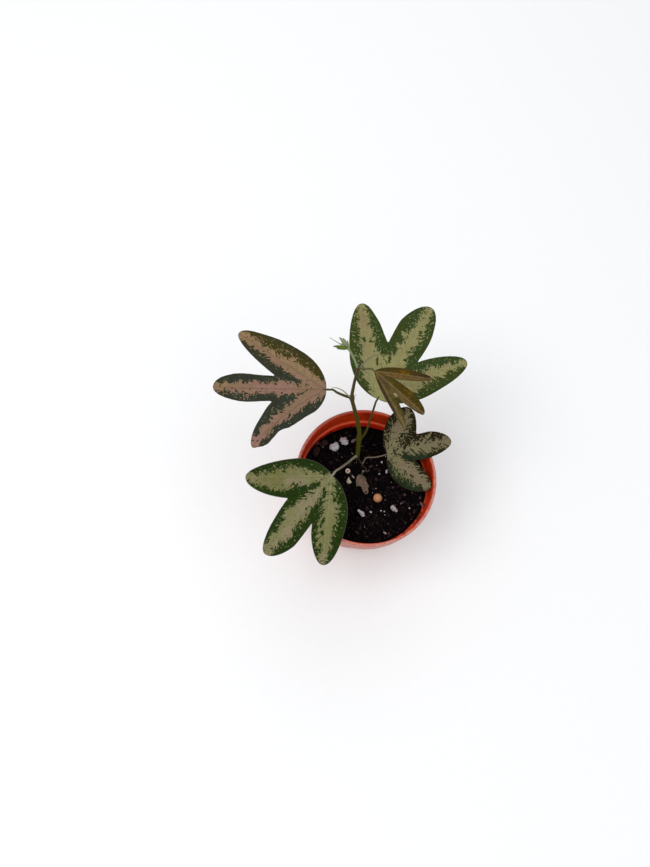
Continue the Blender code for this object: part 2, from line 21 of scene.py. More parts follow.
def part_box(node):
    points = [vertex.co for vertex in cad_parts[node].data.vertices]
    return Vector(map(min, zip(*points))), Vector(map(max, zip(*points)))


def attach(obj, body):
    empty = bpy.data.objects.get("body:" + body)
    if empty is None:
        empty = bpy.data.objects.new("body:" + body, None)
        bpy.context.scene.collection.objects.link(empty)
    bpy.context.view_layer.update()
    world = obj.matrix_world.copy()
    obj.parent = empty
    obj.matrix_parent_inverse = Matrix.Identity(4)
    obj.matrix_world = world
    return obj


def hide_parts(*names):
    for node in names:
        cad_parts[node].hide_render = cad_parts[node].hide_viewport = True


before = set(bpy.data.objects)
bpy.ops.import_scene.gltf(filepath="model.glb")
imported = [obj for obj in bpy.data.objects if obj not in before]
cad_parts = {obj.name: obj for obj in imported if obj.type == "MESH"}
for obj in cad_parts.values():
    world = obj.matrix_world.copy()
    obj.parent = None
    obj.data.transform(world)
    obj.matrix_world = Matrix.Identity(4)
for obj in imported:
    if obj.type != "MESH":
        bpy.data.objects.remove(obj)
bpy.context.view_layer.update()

LOG = logging.getLogger("potted_vine")
MM = 0.001
BODY = "root"
WELD = 0.0005 * MM

Colour = tuple[float, float, float, float]
Feed = Union["Wire", float, Sequence[float], None]
Layer = bmesh.types.BMLayerItem


def paint(red: int, green: int, blue: int) -> Colour:
    """Turn a screen colour into the linear colour of a surface.

    Args:
        red, green, blue: Screen colour, 0 to 255.

    Returns:
        Linear red, green, blue and an alpha of 1.
    """
    linear = [((c / 255 + 0.055) / 1.055) ** 2.4 if c > 10 else c / 255 / 12.92 for c in (red, green, blue)]
    return (*linear, 1.0)


class Side(Enum):
    """The two faces of a blade, with the index of their material."""

    UPPER = 0
    LOWER = 1


class GrainKind(Enum):
    """What the loose bits on the soil are made of."""

    PERLITE = "perlite"
    BARK = "bark"
    PRILL = "prill"


class PatchKind(Enum):
    """What a patch on a blade changes."""

    BAND = "band"
    WARM = "warm"
    BLOTCH = "blotch"
    SPECKLE = "speckle"


class Wire:
    """A number, vector or colour that a node gives, with the arithmetic that the finishes use."""

    def __init__(self, desk: "Desk", socket: bpy.types.NodeSocket) -> None:
        """Hold one socket of a desk's nodes."""
        self.desk = desk
        self.socket = socket

    def by(self, operation: str, *others: Feed) -> "Wire":
        """Put it through a Math node, or through a Vector Math node where it is a vector."""
        kind = "VectorMath" if self.socket.type == "VECTOR" else "Math"
        return self.desk.node(kind, self, *others, operation=operation)

    def __add__(self, other: Feed) -> "Wire":
        """Add to it."""
        return self.by("ADD", other)

    def __sub__(self, other: Feed) -> "Wire":
        """Take from it."""
        return self.by("SUBTRACT", other)

    def __rsub__(self, other: float) -> "Wire":
        """Take it from a number."""
        return self.desk.node("Math", other, self, operation="SUBTRACT")

    def __mul__(self, other: Feed) -> "Wire":
        """Multiply it."""
        return self.by("MULTIPLY", other)

    def __abs__(self) -> "Wire":
        """Drop its sign."""
        return self.by("ABSOLUTE")

    def rise(self, low: float, high: float, smooth: bool = True) -> "Wire":
        """Return 0 below low, 1 above high and a ramp between; low may be the larger."""
        ramp = "SMOOTHSTEP" if smooth else "LINEAR"
        return self.desk.node("MapRange", self, low, high, interpolation_type=ramp)

    def between(self, low: float, high: float) -> "Wire":
        """Spread it from 0 to 1 over a range."""
        return self.by("MULTIPLY_ADD", high - low, low)

    def outs(self) -> list["Wire"]:
        """Return all that its node gives."""
        return [Wire(self.desk, socket) for socket in self.socket.node.outputs]

    def split(self) -> list["Wire"]:
        """Return its three numbers."""
        return self.desk.node("SeparateXYZ", self).outs()


class Desk:
    """One node material, with a short method for each kind of node that the finishes use."""

    def __init__(self, name: str) -> None:
        """Start a material with its Principled shader.

        Args:
            name: The material's name.
        """
        self.material = bpy.data.materials.new(name)
        self.material.use_nodes = True
        self.tree = self.material.node_tree
        self.shader = self.tree.nodes["Principled BSDF"]

    def feed(self, socket: bpy.types.NodeSocket, value: Feed) -> None:
        """Link a socket to a wire, or set its own value.

        Args:
            socket: The input to feed.
            value: What feeds it; None leaves it as it is.
        """
        if isinstance(value, Wire):
            self.tree.links.new(value.socket, socket)
        elif value is not None:
            socket.default_value = value

    def node(self, kind: str, *feeds: Feed, out: Union[int, str] = 0, **settings: object) -> Wire:
        """Add a shader node.

        Args:
            kind: The kind of node.
            feeds: What goes into its inputs, in their order.
            out: The output to return.
            settings: The node's options.

        Returns:
            One of its outputs.
        """
        made = self.tree.nodes.new("ShaderNode" + kind)
        for key, value in settings.items():
            setattr(made, key, value)
        for socket, value in zip(made.inputs, feeds):
            self.feed(socket, value)
        return Wire(self, made.outputs[out])

    def place(self) -> Wire:
        """Return the point of the surface on Object coordinates, in metres."""
        return self.node("TexCoord", out="Object")

    def number(self, name: str) -> Wire:
        """Return a number that the mesh carries."""
        return self.node("Attribute", out="Fac", attribute_name=name)

    def vector(self, name: str) -> Wire:
        """Return a vector that the mesh carries."""
        return self.node("Attribute", out="Vector", attribute_name=name)

    def noise(self, vector: Wire, size: float, detail: float = 3.0, roughness: float = 0.55) -> Wire:
        """Return noise with features of a size, in the vector's own units."""
        return self.node("TexNoise", vector, None, 1.0 / size, detail, roughness)

    def cells(self, vector: Wire, size: float, feature: str = "F1", flat: bool = False) -> list[Wire]:
        """Lay out Voronoi cells.

        Args:
            vector: The place that they are laid out on.
            size: Their size, in the vector's own units.
            feature: What is measured in them.
            flat: Whether they lie in a plane.

        Returns:
            Their distance, random colour and middle.
        """
        made = self.node("TexVoronoi", vector, None, 1.0 / size, feature=feature,
                         voronoi_dimensions="2D" if flat else "3D")
        return made.outs()[:3]

    def mix(self, share: Feed, first: Feed, second: Feed, blend: str = "MIX") -> Wire:
        """Mix two colours by a share, through the Mix node's colour inputs."""
        return self.node("Mix", share, *[None] * 5, first, second, out=2, data_type="RGBA", blend_type=blend)

    def scaled(self, colour: Feed, *factors: Wire) -> Wire:
        """Make a colour lighter or darker by one factor after another.

        Args:
            colour: The colour.
            factors: What it is multiplied by.

        Returns:
            The changed colour.
        """
        for factor in factors:
            colour = self.mix(1.0, colour, self.node("CombineXYZ", factor, factor, factor), "MULTIPLY")
        return colour

    def dress(self, colour: Feed, roughness: Feed, specular: float, height: Feed = None,
              depth_mm: float = 0.0) -> None:
        """Feed the shader.

        Args:
            colour: Base colour.
            roughness: Roughness.
            specular: Specular level, where 0.5 is ordinary.
            height: How high the surface is raised, from 0 to 1.
            depth_mm: How far 1 raises it.
        """
        feeds = {"Base Color": colour, "Roughness": roughness, "Specular IOR Level": specular}
        if height is not None:
            bump = self.node("Bump", 1.0, depth_mm * MM)
            self.feed(bump.socket.node.inputs["Height"], height)
            feeds["Normal"] = bump
        for name, value in feeds.items():
            self.feed(self.shader.inputs[name], value)


@dataclass(frozen=True)
class Finish:
    """A look: its colours and sizes are fields, and draw lays out its nodes."""

    name: str

    def draw(self, desk: Desk) -> None:
        """Lay out the nodes on a desk."""
        raise NotImplementedError

    def build(self) -> bpy.types.Material:
        """Build the finish's material.

        Returns:
            The material.
        """
        desk = Desk(self.name)
        self.draw(desk)
        return desk.material


@dataclass(frozen=True)
class PlasticFinish(Finish):
    """Terracotta-coloured moulded plastic: deep inside with painted bounced glow, dust and painted pale sheen
    outside and on its lip.
    """

    name: str = "pot_plastic"
    # Inner colours: the plastic's tone, deepened and reddened by painted light bounced round inside the pot.
    inner: Colour = paint(206, 58, 10)
    inner_deep: Colour = paint(158, 32, 4)
    painted_low_glow: Colour = paint(206, 38, 12)
    # Painted highlight of the inner ledge.
    glow: Colour = paint(236, 96, 52)
    outer: Colour = paint(174, 82, 58)
    dust_and_sheen: Colour = paint(172, 108, 97)
    scuff_and_highlight: Colour = paint(192, 138, 129)
    stain: Colour = paint(26, 13, 11)
    lip_height: float = 48.3 * MM
    ledge_height: float = 40.2 * MM
    stain_height: float = 41.5 * MM

    def draw(self, desk: Desk) -> None:
        """Lay out the moulding and painted glow, then dust and painted sheen, painted ledge highlight, worn
        and highlit lip, soil stains.

        Args:
            desk: The material's desk.
        """
        place = desk.place()
        _, y, z = place.split()
        inside = desk.number("inner")
        fore = y.rise(24.0 * MM, 12.0 * MM)
        drag = desk.noise(place * (1.0, 1.0, 0.12), 2.2 * MM)
        hoop = desk.noise(place * (0.1, 0.1, 1.0), 0.7 * MM)
        clouds = desk.noise(place, 9.0 * MM, 4.0)
        grit = desk.noise(place, 0.5 * MM, 6.0, 0.7)
        # Inner wall: its own tone plus painted bounced light.
        inside_tone_and_bounce = desk.mix(clouds.rise(0.35, 0.7), self.inner, self.inner_deep)
        # Painted glow of bounced light on the inner wall below the ledge, strongest at the back.
        below = z.rise(40.4 * MM, 39.8 * MM) * fore.between(1.0, 0.25)
        inside_tone_and_bounce = desk.mix(below, inside_tone_and_bounce, self.painted_low_glow)
        # Dust mixed with a painted pale sheen, more towards the top and on the near side.
        dusty_and_sheen = desk.noise(place, 3.5 * MM, 7.0, 0.7).rise(0.36, 0.68)
        dusty_and_sheen = dusty_and_sheen * z.rise(26.0 * MM, 46.0 * MM).between(0.25, 1.0)
        outside = desk.mix(dusty_and_sheen * fore.between(0.4, 1.0), self.outer, self.dust_and_sheen)
        body = desk.mix(inside, outside, inside_tone_and_bounce)
        body = desk.scaled(body, drag.between(0.90, 1.10), hoop.between(0.82, 1.18))
        # Painted highlight along the inner ledge, faint on the near side.
        ledge = abs(z - self.ledge_height).rise(0.55 * MM, 0.1 * MM) * inside
        body = desk.mix(ledge * fore.between(0.75, 0.15), body, self.glow)
        # Worn lip mixed with a painted pale highlight, more on its outer edge and on the near side.
        lip = z.rise(self.lip_height - 0.5 * MM, self.lip_height + 0.2 * MM)
        worn_and_highlit = lip * desk.noise(place, 1.3 * MM, 5.0, 0.65).rise(0.38, 0.6)
        worn_and_highlit = worn_and_highlit * inside.between(0.7, 0.25) * fore.between(0.2, 1.0)
        body = desk.mix(worn_and_highlit, body, self.scuff_and_highlight)
        low = z.rise(self.stain_height, self.stain_height - 3.5 * MM)
        patch = desk.noise(place, 2.4 * MM, 5.0, 0.7) + low * 0.22
        patch = patch + y.rise(4.0 * MM, -14.0 * MM) * 0.16
        soiled = inside * low.rise(0.0, 0.2) * patch.rise(0.72, 0.80)
        crumbs = grit.rise(0.71, 0.74) * z.rise(30 * MM, 44 * MM)
        soiled = soiled.by("MAXIMUM", crumbs * 0.7)
        body = desk.mix(soiled * 0.85, body, self.stain)
        desk.dress(body, grit.between(0.30, 0.50) + soiled * 0.35, 0.3, grit * 0.5 + drag, 0.05)


@dataclass(frozen=True)
class SoilFinish(Finish):
    """Dark moist potting soil: near black peat with brown and reddish crumbs."""

    name: str = "potting_soil"
    peat: Colour = paint(10, 6, 7)
    brown: Colour = paint(30, 19, 19)
    rust: Colour = paint(54, 32, 30)

    def draw(self, desk: Desk) -> None:
        """Lay out the peat with a tone for each crumb.

        Args:
            desk: The material's desk.
        """
        place = desk.place()
        distance, drawn, _ = desk.cells(place, 0.7 * MM)
        red, green, _ = drawn.split()
        colour = desk.mix(red.rise(0.78, 1.0), self.peat, self.brown)
        colour = desk.mix(green.rise(0.985, 0.99), colour, self.rust)
        fine = desk.noise(place, 0.35 * MM, 5.0, 0.7)
        colour = desk.scaled(colour, fine.between(0.35, 1.3))
        desk.dress(colour, fine.between(0.7, 1.0), 0.03, fine - distance, 0.25)


@dataclass(frozen=True)
class LitterFinish(Finish):
    """Bits of soil and fibres whose tone each bit carries in its own attribute."""

    name: str = "soil_litter"
    dark: Colour = paint(11, 7, 8)
    brown: Colour = paint(84, 62, 64)
    pale: Colour = paint(206, 194, 192)

    def draw(self, desk: Desk) -> None:
        """Lay out the tones from near black over brown to white.

        Args:
            desk: The material's desk.
        """
        tone = desk.number("tone")
        fine = desk.noise(desk.place(), 0.25 * MM, 4.0, 0.7)
        colour = desk.mix(tone.rise(0.0, 0.5, smooth=False), self.dark, self.brown)
        colour = desk.mix(tone.rise(0.5, 1.0, smooth=False), colour, self.pale)
        colour = desk.scaled(colour, fine.between(0.65, 1.25))
        desk.dress(colour, fine.between(0.75, 1.0), 0.08, fine, 0.08)


@dataclass(frozen=True)
class StemFinish(Finish):
    """Green skin of stems and stalks, browner or paler by each rod's own tone."""

    name: str = "vine_skin"
    green: Colour = paint(76, 82, 8)
    brown: Colour = paint(62, 47, 16)
    old: Colour = paint(38, 22, 17)
    pale: Colour = paint(158, 151, 131)

    def draw(self, desk: Desk) -> None:
        """Lay out the rod's tone with long streaks, mottling and freckles.

        Args:
            desk: The material's desk.
        """
        place = desk.place()
        browned, paled, streak = desk.vector("skin").split()
        streaks = desk.noise(desk.node("CombineXYZ", streak, place.split()[2], browned), 0.35)
        colour = desk.mix(browned, self.green, self.brown)
        colour = desk.mix(browned.rise(1.0, 2.0), colour, self.old)
        colour = desk.mix(paled, colour, self.pale)
        mottled = desk.noise(place, 0.9 * MM, 4.0, 0.6)
        colour = desk.scaled(colour, mottled.between(0.7, 1.3), streaks.between(0.6, 1.4))
        freckles = desk.noise(place, 0.3 * MM, 2.0).rise(0.68, 0.74)
        colour = desk.mix(freckles * 0.35, colour, self.pale)
        desk.dress(colour, mottled.between(0.40, 0.60), 0.22, mottled + streaks, 0.06)


@dataclass(frozen=True)
class ShootFinish(Finish):
    """Pale downy skin of the growing tip, greener on its bud leaflets."""

    name: str = "shoot_skin"
    down: Colour = paint(132, 144, 112)
    green: Colour = paint(84, 98, 22)

    def draw(self, desk: Desk) -> None:
        """Lay out the mottled green under its down.

        Args:
            desk: The material's desk.
        """
        place = desk.place()
        mottled = desk.noise(place, 0.6 * MM, 4.0, 0.6)
        colour = desk.mix(desk.vector("skin").split()[0], self.down, self.green)
        colour = desk.scaled(colour, mottled.between(0.75, 1.25))
        desk.dress(colour, mottled.between(0.55, 0.75), 0.2, desk.noise(place, 0.18 * MM, 3.0, 0.7), 0.06)


@dataclass(frozen=True)
class LeafFinish(Finish):
    """A finish that follows the ribs of a blade.

    The blade's mesh carries leaf_mm (place on the blade), band (how far inside the band, with its
    slope), vein (place along the side veins), across and along (place by each lobe's midrib),
    edge_mm (distance from the margin) and tint (warm, blotched and speckled shares).
    """

    def from_rib(self, desk: Desk) -> Wire:
        """Work out the distance from the nearest midrib.

        Args:
            desk: The material's desk.

        Returns:
            Millimetres, large behind the stalk.
        """
        behind = (desk.vector("along") * (-9.0, -9.0, -9.0)).by("MAXIMUM", (0.0, 0.0, 0.0))
        first, second, third = (abs(desk.vector("across")) + behind).split()
        return first.by("MINIMUM", second.by("MINIMUM", third))


@dataclass(frozen=True)
class BladeFinish(LeafFinish):
    """Upper side of a variegated blade: a jagged pale band along each midrib on a dark green blade."""

    band: Colour
    band_warm: Colour
    blotch: Colour
    green: Colour
    green_warm: Colour
    speck: Colour
    rib: Colour
    rim: Colour
    blotch_share: float = 0.3
    cell_mm: float = 0.5
    jitter_mm: float = 0.4
    lump_mm: float = 1.5
    wander_mm: float = 3.6
    teeth_mm: float = 1.2
    dot_cell_mm: float = 0.58
    dark_share: float = 0.02
    light_share: float = 0.02
    dot_share: float = 0.10
    rib_share: float = 0.5
    cloud_share: float = 0.6
    fan_share: float = 0.45
    roughness: float = 0.5

    def inside(self, desk: Desk, leaf: Wire, vein: Wire, speckle: Wire) -> Wire:
        """Work out how far inside the jagged band each little cell of the blade lies.

        Args:
            desk: The material's desk.
            leaf: Place on the blade, in millimetres.
            vein: Place along the side veins, in millimetres.
            speckle: How much the cells stray, from 0 to 1.

        Returns:
            Millimetres inside the band, the same all over a cell but for its teeth.
        """
        depth, slope_x, slope_y = desk.vector("band").split()
        _, drawn, middle = desk.cells(leaf, self.cell_mm, flat=True)
        slope = desk.node("CombineXYZ", slope_x, slope_y)
        shift = desk.node("VectorMath", middle - leaf, slope, out="Value", operation="DOT_PRODUCT")
        draw, odd, _ = drawn.split()
        total = depth + shift + draw.between(-self.jitter_mm / 2, self.jitter_mm / 2)
        total = total + desk.noise(middle, self.lump_mm, 1.0).between(-1.5, 1.5)
        total = total + desk.noise(middle, self.wander_mm, 1.0).between(-1.2, 1.2)
        for stretch in ((1.15, 0.5, 7.0), (2.6, 0.9, 7.0)):
            tooth = desk.cells(vein * stretch, 1.0, flat=True)[1].split()[0]
            total = total + tooth.between(-self.teeth_mm / 2, self.teeth_mm / 2)
        stray = speckle * 0.25
        darker = odd.by("GREATER_THAN", (1.0 - self.dark_share) - stray)
        lighter = odd.by("LESS_THAN", stray + self.light_share)
        return total - darker * 1.9 + lighter * 1.7

    def draw(self, desk: Desk) -> None:
        """Lay out the pale band, the dotted green, then the net, the ribs and the rim.

        Args:
            desk: The material's desk.
        """
        leaf, vein, edge = desk.vector("leaf_mm"), desk.vector("vein"), desk.number("edge_mm")
        warm, blotched, speckle = desk.vector("tint").split()
        q_along, q_out, _ = vein.split()
        pale = self.inside(desk, leaf, vein, speckle).rise(-0.02, 0.02, smooth=False)
        net = desk.cells(leaf, self.cell_mm, "DISTANCE_TO_EDGE", flat=True)[0]
        mottle = desk.noise(leaf, 0.5, 4.0, 0.65)
        patchy = desk.noise(leaf, 1.6, 3.0, 0.6)
        blots = desk.noise(leaf + (37.0, 11.0, 0.0), 4.0, 3.0)

        warmed = warm.by("MAXIMUM", desk.noise(leaf, 7.0, 2.0).rise(0.45, 0.65) * self.cloud_share)
        light = desk.mix(warmed, self.band, self.band_warm)
        flecked = (blotched + patchy.between(-1.1, 1.1)).rise(0.1, 1.1) * 0.85
        scattered = blots.rise(0.5, 0.62) * self.blotch_share
        light = desk.mix(scattered.by("MAXIMUM", flecked), light, self.blotch)
        veined = desk.noise(vein * (2.6, 0.45, 9.0), 1.0, 3.0, 0.6)
        drawn = desk.noise(vein * (0.3, 2.4, 9.0), 1.0, 3.0, 0.6)
        fan = drawn.rise(0.54, 0.64) * q_along.rise(15.0, 4.0)
        light = desk.mix(fan * self.fan_share, light, self.speck)
        light = desk.scaled(light, mottle.between(0.68, 1.32), patchy.between(0.82, 1.18),
                            veined.between(0.72, 1.28), drawn.between(0.84, 1.16))

        dark = desk.mix(warmed, self.green, self.green_warm)
        dark = desk.scaled(dark, mottle.between(0.55, 1.45), patchy.between(0.6, 1.4))
        distance, dot_draws, _ = desk.cells(leaf, self.dot_cell_mm, flat=True)
        _, draw, strength = dot_draws.split()
        near = desk.vector("band").split()[0].rise(-3.8, -0.8)
        share = near.between(0.5 * self.dot_share, 1.4 * self.dot_share) + speckle * 0.22
        dots = draw.by("LESS_THAN", share) * (distance + mottle.between(-0.12, 0.12)).rise(0.32, 0.18)
        dots = dots * (edge + blots.between(-1.2, 1.2)).rise(0.6, 1.3)
        dark = desk.mix(dots * strength.between(0.2, 1.0), dark, self.speck)

        colour = desk.mix(pale, dark, light)
        colour = desk.scaled(colour, 1.0 - net.rise(0.05, 0.0) * 0.12)
        side_line = q_along.by("PINGPONG", 1.5).rise(0.16, 0.04) * abs(q_out).rise(7.5, 0.4)
        rib_line = self.from_rib(desk).rise(0.22, 0.06)
        colour = desk.mix(side_line * 0.14, colour, self.rib)
        colour = desk.mix(rib_line * self.rib_share, colour, self.rib)
        colour = desk.mix(edge.rise(0.35, 0.05) * 0.5, colour, self.rim)
        height = net.rise(0.0, 0.2) - side_line * 1.3 - rib_line + mottle * 0.8
        desk.dress(colour, mottle.between(self.roughness - 0.07, self.roughness + 0.09), 0.07, height, 0.03)


@dataclass(frozen=True)
class UndersideFinish(LeafFinish):
    """Lower side of a blade: matt purple skin with paler raised ribs."""

    skin: Colour = paint(84, 40, 54)
    cool: Colour = paint(70, 50, 46)
    rib: Colour = paint(132, 104, 88)

    def draw(self, desk: Desk) -> None:
        """Lay out the skin under its ribs, side veins and net.

        Args:
            desk: The material's desk.
        """
        leaf = desk.vector("leaf_mm")
        q_along, q_out, _ = desk.vector("vein").split()
        mottle = desk.noise(leaf, 0.5, 4.0, 0.65)
        net = desk.cells(leaf, 0.48, "DISTANCE_TO_EDGE", flat=True)[0]
        colour = desk.mix(desk.noise(leaf, 5.0, 2.0).rise(0.35, 0.65), self.skin, self.cool)
        colour = desk.scaled(colour, mottle.between(0.75, 1.25))
        side_line = q_along.by("PINGPONG", 1.5).rise(0.2, 0.05) * abs(q_out).rise(8.0, 1.0)
        lines = self.from_rib(desk).rise(0.42, 0.2).by("MAXIMUM", side_line * 0.45)
        lines = lines.by("MAXIMUM", net.rise(0.05, 0.0) * 0.25)
        colour = desk.mix(lines, colour, self.rib)
        desk.dress(colour, mottle.between(0.55, 0.75), 0.15, lines + mottle * 0.5, 0.05)


@dataclass(frozen=True)
class YoungFinish(LeafFinish):
    """Upper side of a young folded blade: olive on one half of each lobe, mauve brown on the other."""

    olive: Colour
    gold: Colour
    mauve: Colour
    khaki: Colour
    dark: Colour
    rib: Colour
    scar: Colour = paint(148, 134, 106)

    def draw(self, desk: Desk) -> None:
        """Lay out the two halves of each lobe, then their patches, streaks and ribs.

        Args:
            desk: The material's desk.
        """
        leaf, vein, edge = desk.vector("leaf_mm"), desk.vector("vein"), desk.number("edge_mm")
        warm, blotched, speckle = desk.vector("tint").split()
        q_along, q_out, _ = vein.split()
        mottle = desk.noise(leaf, 0.5, 4.0, 0.65)
        patchy = desk.noise(leaf, 1.6, 4.0, 0.65)
        streaks = desk.noise(vein * (0.35, 2.2, 9.0), 1.0)
        ragged = q_out + desk.noise(leaf, 1.2).between(-0.9, 0.9)
        colour = desk.mix(patchy.rise(0.5, 0.62), self.mauve, self.khaki)
        colour = desk.mix(ragged.rise(0.15, 0.55), colour, self.olive)
        colour = desk.mix(warm * streaks.rise(0.4, 0.6), colour, self.gold)
        colour = desk.mix(blotched * mottle.rise(0.3, 0.55), colour, self.khaki)
        outer = edge.rise(0.8, 0.15) * streaks.rise(0.35, 0.55)
        colour = desk.mix((outer * 0.55).by("MAXIMUM", speckle), colour, self.dark)
        colour = desk.scaled(colour, mottle.between(0.45, 1.55), streaks.between(0.55, 1.45),
                             patchy.between(0.4, 1.6))
        rib_line = self.from_rib(desk).rise(0.2, 0.08)
        side_line = q_along.by("PINGPONG", 0.8).rise(0.14, 0.04)
        colour = desk.mix(rib_line * 0.5, colour, self.rib)
        colour = desk.mix(side_line * 0.12, colour, self.rib)
        colour = desk.mix(blotched.rise(1.9, 2.3), colour, self.scar)
        desk.dress(colour, mottle.between(0.40, 0.56), 0.08, mottle - (rib_line + side_line), 0.03)


@dataclass(frozen=True)
class DeadLeafFinish(LeafFinish):
    """Both sides of a dry leaf scrap: grey brown with darker ribs."""

    brown: Colour = paint(114, 93, 82)
    grey: Colour = paint(96, 84, 66)
    dark: Colour = paint(50, 37, 30)

    def draw(self, desk: Desk) -> None:
        """Lay out the clouded brown under its ribs.

        Args:
            desk: The material's desk.
        """
        leaf = desk.vector("leaf_mm")
        mottle = desk.noise(leaf, 0.6, 5.0, 0.7)
        rib_line = self.from_rib(desk).rise(0.3, 0.1)
        colour = desk.mix(desk.noise(leaf, 2.5).rise(0.4, 0.6), self.brown, self.grey)
        colour = desk.scaled(colour, mottle.between(0.6, 1.35))
        colour = desk.mix(rib_line * 0.25, colour, self.dark)
        desk.dress(colour, mottle.between(0.75, 0.95), 0.1, mottle - rib_line, 0.07)


@dataclass(frozen=True)
class GrainFinish(Finish):
    """A loose grain or chip: two tones, pits and a roughness of its own."""

    colour: Colour
    second: Colour
    pit_mm: float
    roughness: float
    stretch: float = 1.0

    def draw(self, desk: Desk) -> None:
        """Lay out the two tones and the pits, darkened with painted shade.

        Args:
            desk: The material's desk.
        """
        place = desk.place() * (1.0, self.stretch, 1.0)
        distance = desk.cells(place, self.pit_mm * MM)[0]
        mottle = desk.noise(place, self.pit_mm * 2.5 * MM, 5.0, 0.65)
        colour = desk.mix(mottle.rise(0.38, 0.66), self.colour, self.second)
        # Painted shade: darker in the pits, away from the cell points.
        colour = desk.scaled(colour, distance.rise(0.75, 0.2).between(0.72, 1.06))
        desk.dress(colour, self.roughness, 0.2, mottle - distance, self.pit_mm * 0.4)


@dataclass(frozen=True)
class RingedFinish(Finish):
    """A fertiliser grain that has leaked: a pale shell round a red-brown mouth."""

    shell: Colour
    mouth: Colour
    mouth_from: float = 0.90

    def draw(self, desk: Desk) -> None:
        """Lay out the shell and its ragged mouth.

        Args:
            desk: The material's desk.
        """
        fine = desk.noise(desk.place(), 0.3 * MM, 4.0, 0.6)
        ragged = desk.number("tone") + fine.between(-0.03, 0.03)
        colour = desk.mix(ragged.rise(self.mouth_from, self.mouth_from + 0.05), self.shell, self.mouth)
        colour = desk.scaled(colour, fine.between(0.8, 1.15))
        desk.dress(colour, fine.between(0.35, 0.5), 0.3, fine, 0.05)


@dataclass(frozen=True)
class FloorFinish(Finish):
    """Plain pale paper under the pot."""

    name: str = "pale_floor"
    colour: Colour = (0.86, 0.86, 0.855, 1.0)

    def draw(self, desk: Desk) -> None:
        """Lay out the faint grain."""
        grain = desk.noise(desk.place(), 3.0 * MM)
        desk.dress(desk.scaled(self.colour, grain.between(0.985, 1.01)), 0.9, 0.1)


def placed(name: str, data: Union[bpy.types.ID, None]) -> bpy.types.Object:
    """Add an object that holds some data to the scene.

    Args:
        name: The object's name.
        data: Its data.

    Returns:
        The object.
    """
    made = bpy.data.objects.new(name, data)
    bpy.context.scene.collection.objects.link(made)
    return made


def finished(name: str, mesh: bpy.types.Mesh, finishes: Sequence[Finish],
             nodes: Sequence[str] = (), smooth_degrees: float = 180.0) -> None:
    """Make a finished piece of a mesh: materials, shading, body and the solids that it stands for.

    Args:
        name: The piece's name.
        mesh: Its mesh, with its place in its vertices.
        finishes: Its finishes, in the order of its faces' indices.
        nodes: Names of the solids that it replaces.
        smooth_degrees: Edges sharper than this stay sharp.
    """
    mesh.name = name
    for finish in finishes:
        mesh.materials.append(finish.build())
    mesh.shade_smooth()
    if smooth_degrees < 180.0:
        mesh.set_sharp_from_angle(angle=radians(smooth_degrees))
    piece = placed(name, mesh)
    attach(piece, BODY)
    if nodes:
        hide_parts(*nodes)
    LOG.info("%s: %d faces, stands for %s", name, len(mesh.polygons), ", ".join(nodes) or "nothing")


def to_mesh(bm: bmesh.types.BMesh, outward: bool = False) -> bpy.types.Mesh:
    """Turn a bmesh into a mesh and free it.

    Args:
        bm: The bmesh.
        outward: Whether its faces are first turned outwards.

    Returns:
        The mesh.
    """
    if outward:
        bmesh.ops.recalc_face_normals(bm, faces=bm.faces)
    mesh = bpy.data.meshes.new("made")
    bm.to_mesh(mesh)
    bm.free()
    return mesh


def write_attribute(mesh: bpy.types.Mesh, name: str, *columns: np.ndarray) -> None:
    """Store numbers or vectors on a mesh's points.

    Args:
        mesh: The mesh.
        name: The attribute's name.
        columns: One column of numbers, or the three columns of the vectors.
    """
    kind, key = ("FLOAT", "value") if len(columns) == 1 else ("FLOAT_VECTOR", "vector")
    layer = mesh.attributes.get(name) or mesh.attributes.new(name, kind, "POINT")
    layer.data.foreach_set(key, np.stack(columns, 1).astype(np.float32).ravel())


def read_attribute(mesh: bpy.types.Mesh, name: str) -> np.ndarray:
    """Read numbers or vectors from a mesh's points.

    Args:
        mesh: The mesh.
        name: The attribute's name.

    Returns:
        The attribute's columns.
    """
    layer = mesh.attributes[name]
    width, key = (1, "value") if layer.data_type == "FLOAT" else (3, "vector")
    values = np.zeros(len(mesh.vertices) * width, np.float32)
    layer.data.foreach_get(key, values)
    return values.reshape(-1, width).astype(float).T


def slopes(rule: Callable[[np.ndarray, np.ndarray], np.ndarray], x: np.ndarray, y: np.ndarray,
           step: float) -> tuple[np.ndarray, np.ndarray]:
    """Return how fast a rule rises along x and along y, read a step to each side."""
    return ((rule(x + step, y) - rule(x - step, y)) / (2 * step),
            (rule(x, y + step) - rule(x, y - step)) / (2 * step))


def wrapped_grid(bm: bmesh.types.BMesh, columns: int, rows: int,
                 put: Callable[[bmesh.types.BMVert, int, int], None]) -> list[bmesh.types.BMVert]:
    """Add a grid whose columns close into a ring, with each point put in its place by a rule.

    Args:
        bm: The bmesh to add to.
        columns: Steps round the ring.
        rows: Steps along the rows.
        put: Places a point by its column and its row.

    Returns:
        The grid's points, with its seam and its poles closed.
    """
    grid = bmesh.ops.create_grid(bm, x_segments=columns, y_segments=rows, size=1.0)["verts"]
    for vert in grid:
        put(vert, round((vert.co.x + 1.0) / 2.0 * columns) % columns, round((vert.co.y + 1.0) / 2.0 * rows))
    bmesh.ops.remove_doubles(bm, verts=grid, dist=WELD)
    return [vert for vert in grid if vert.is_valid]


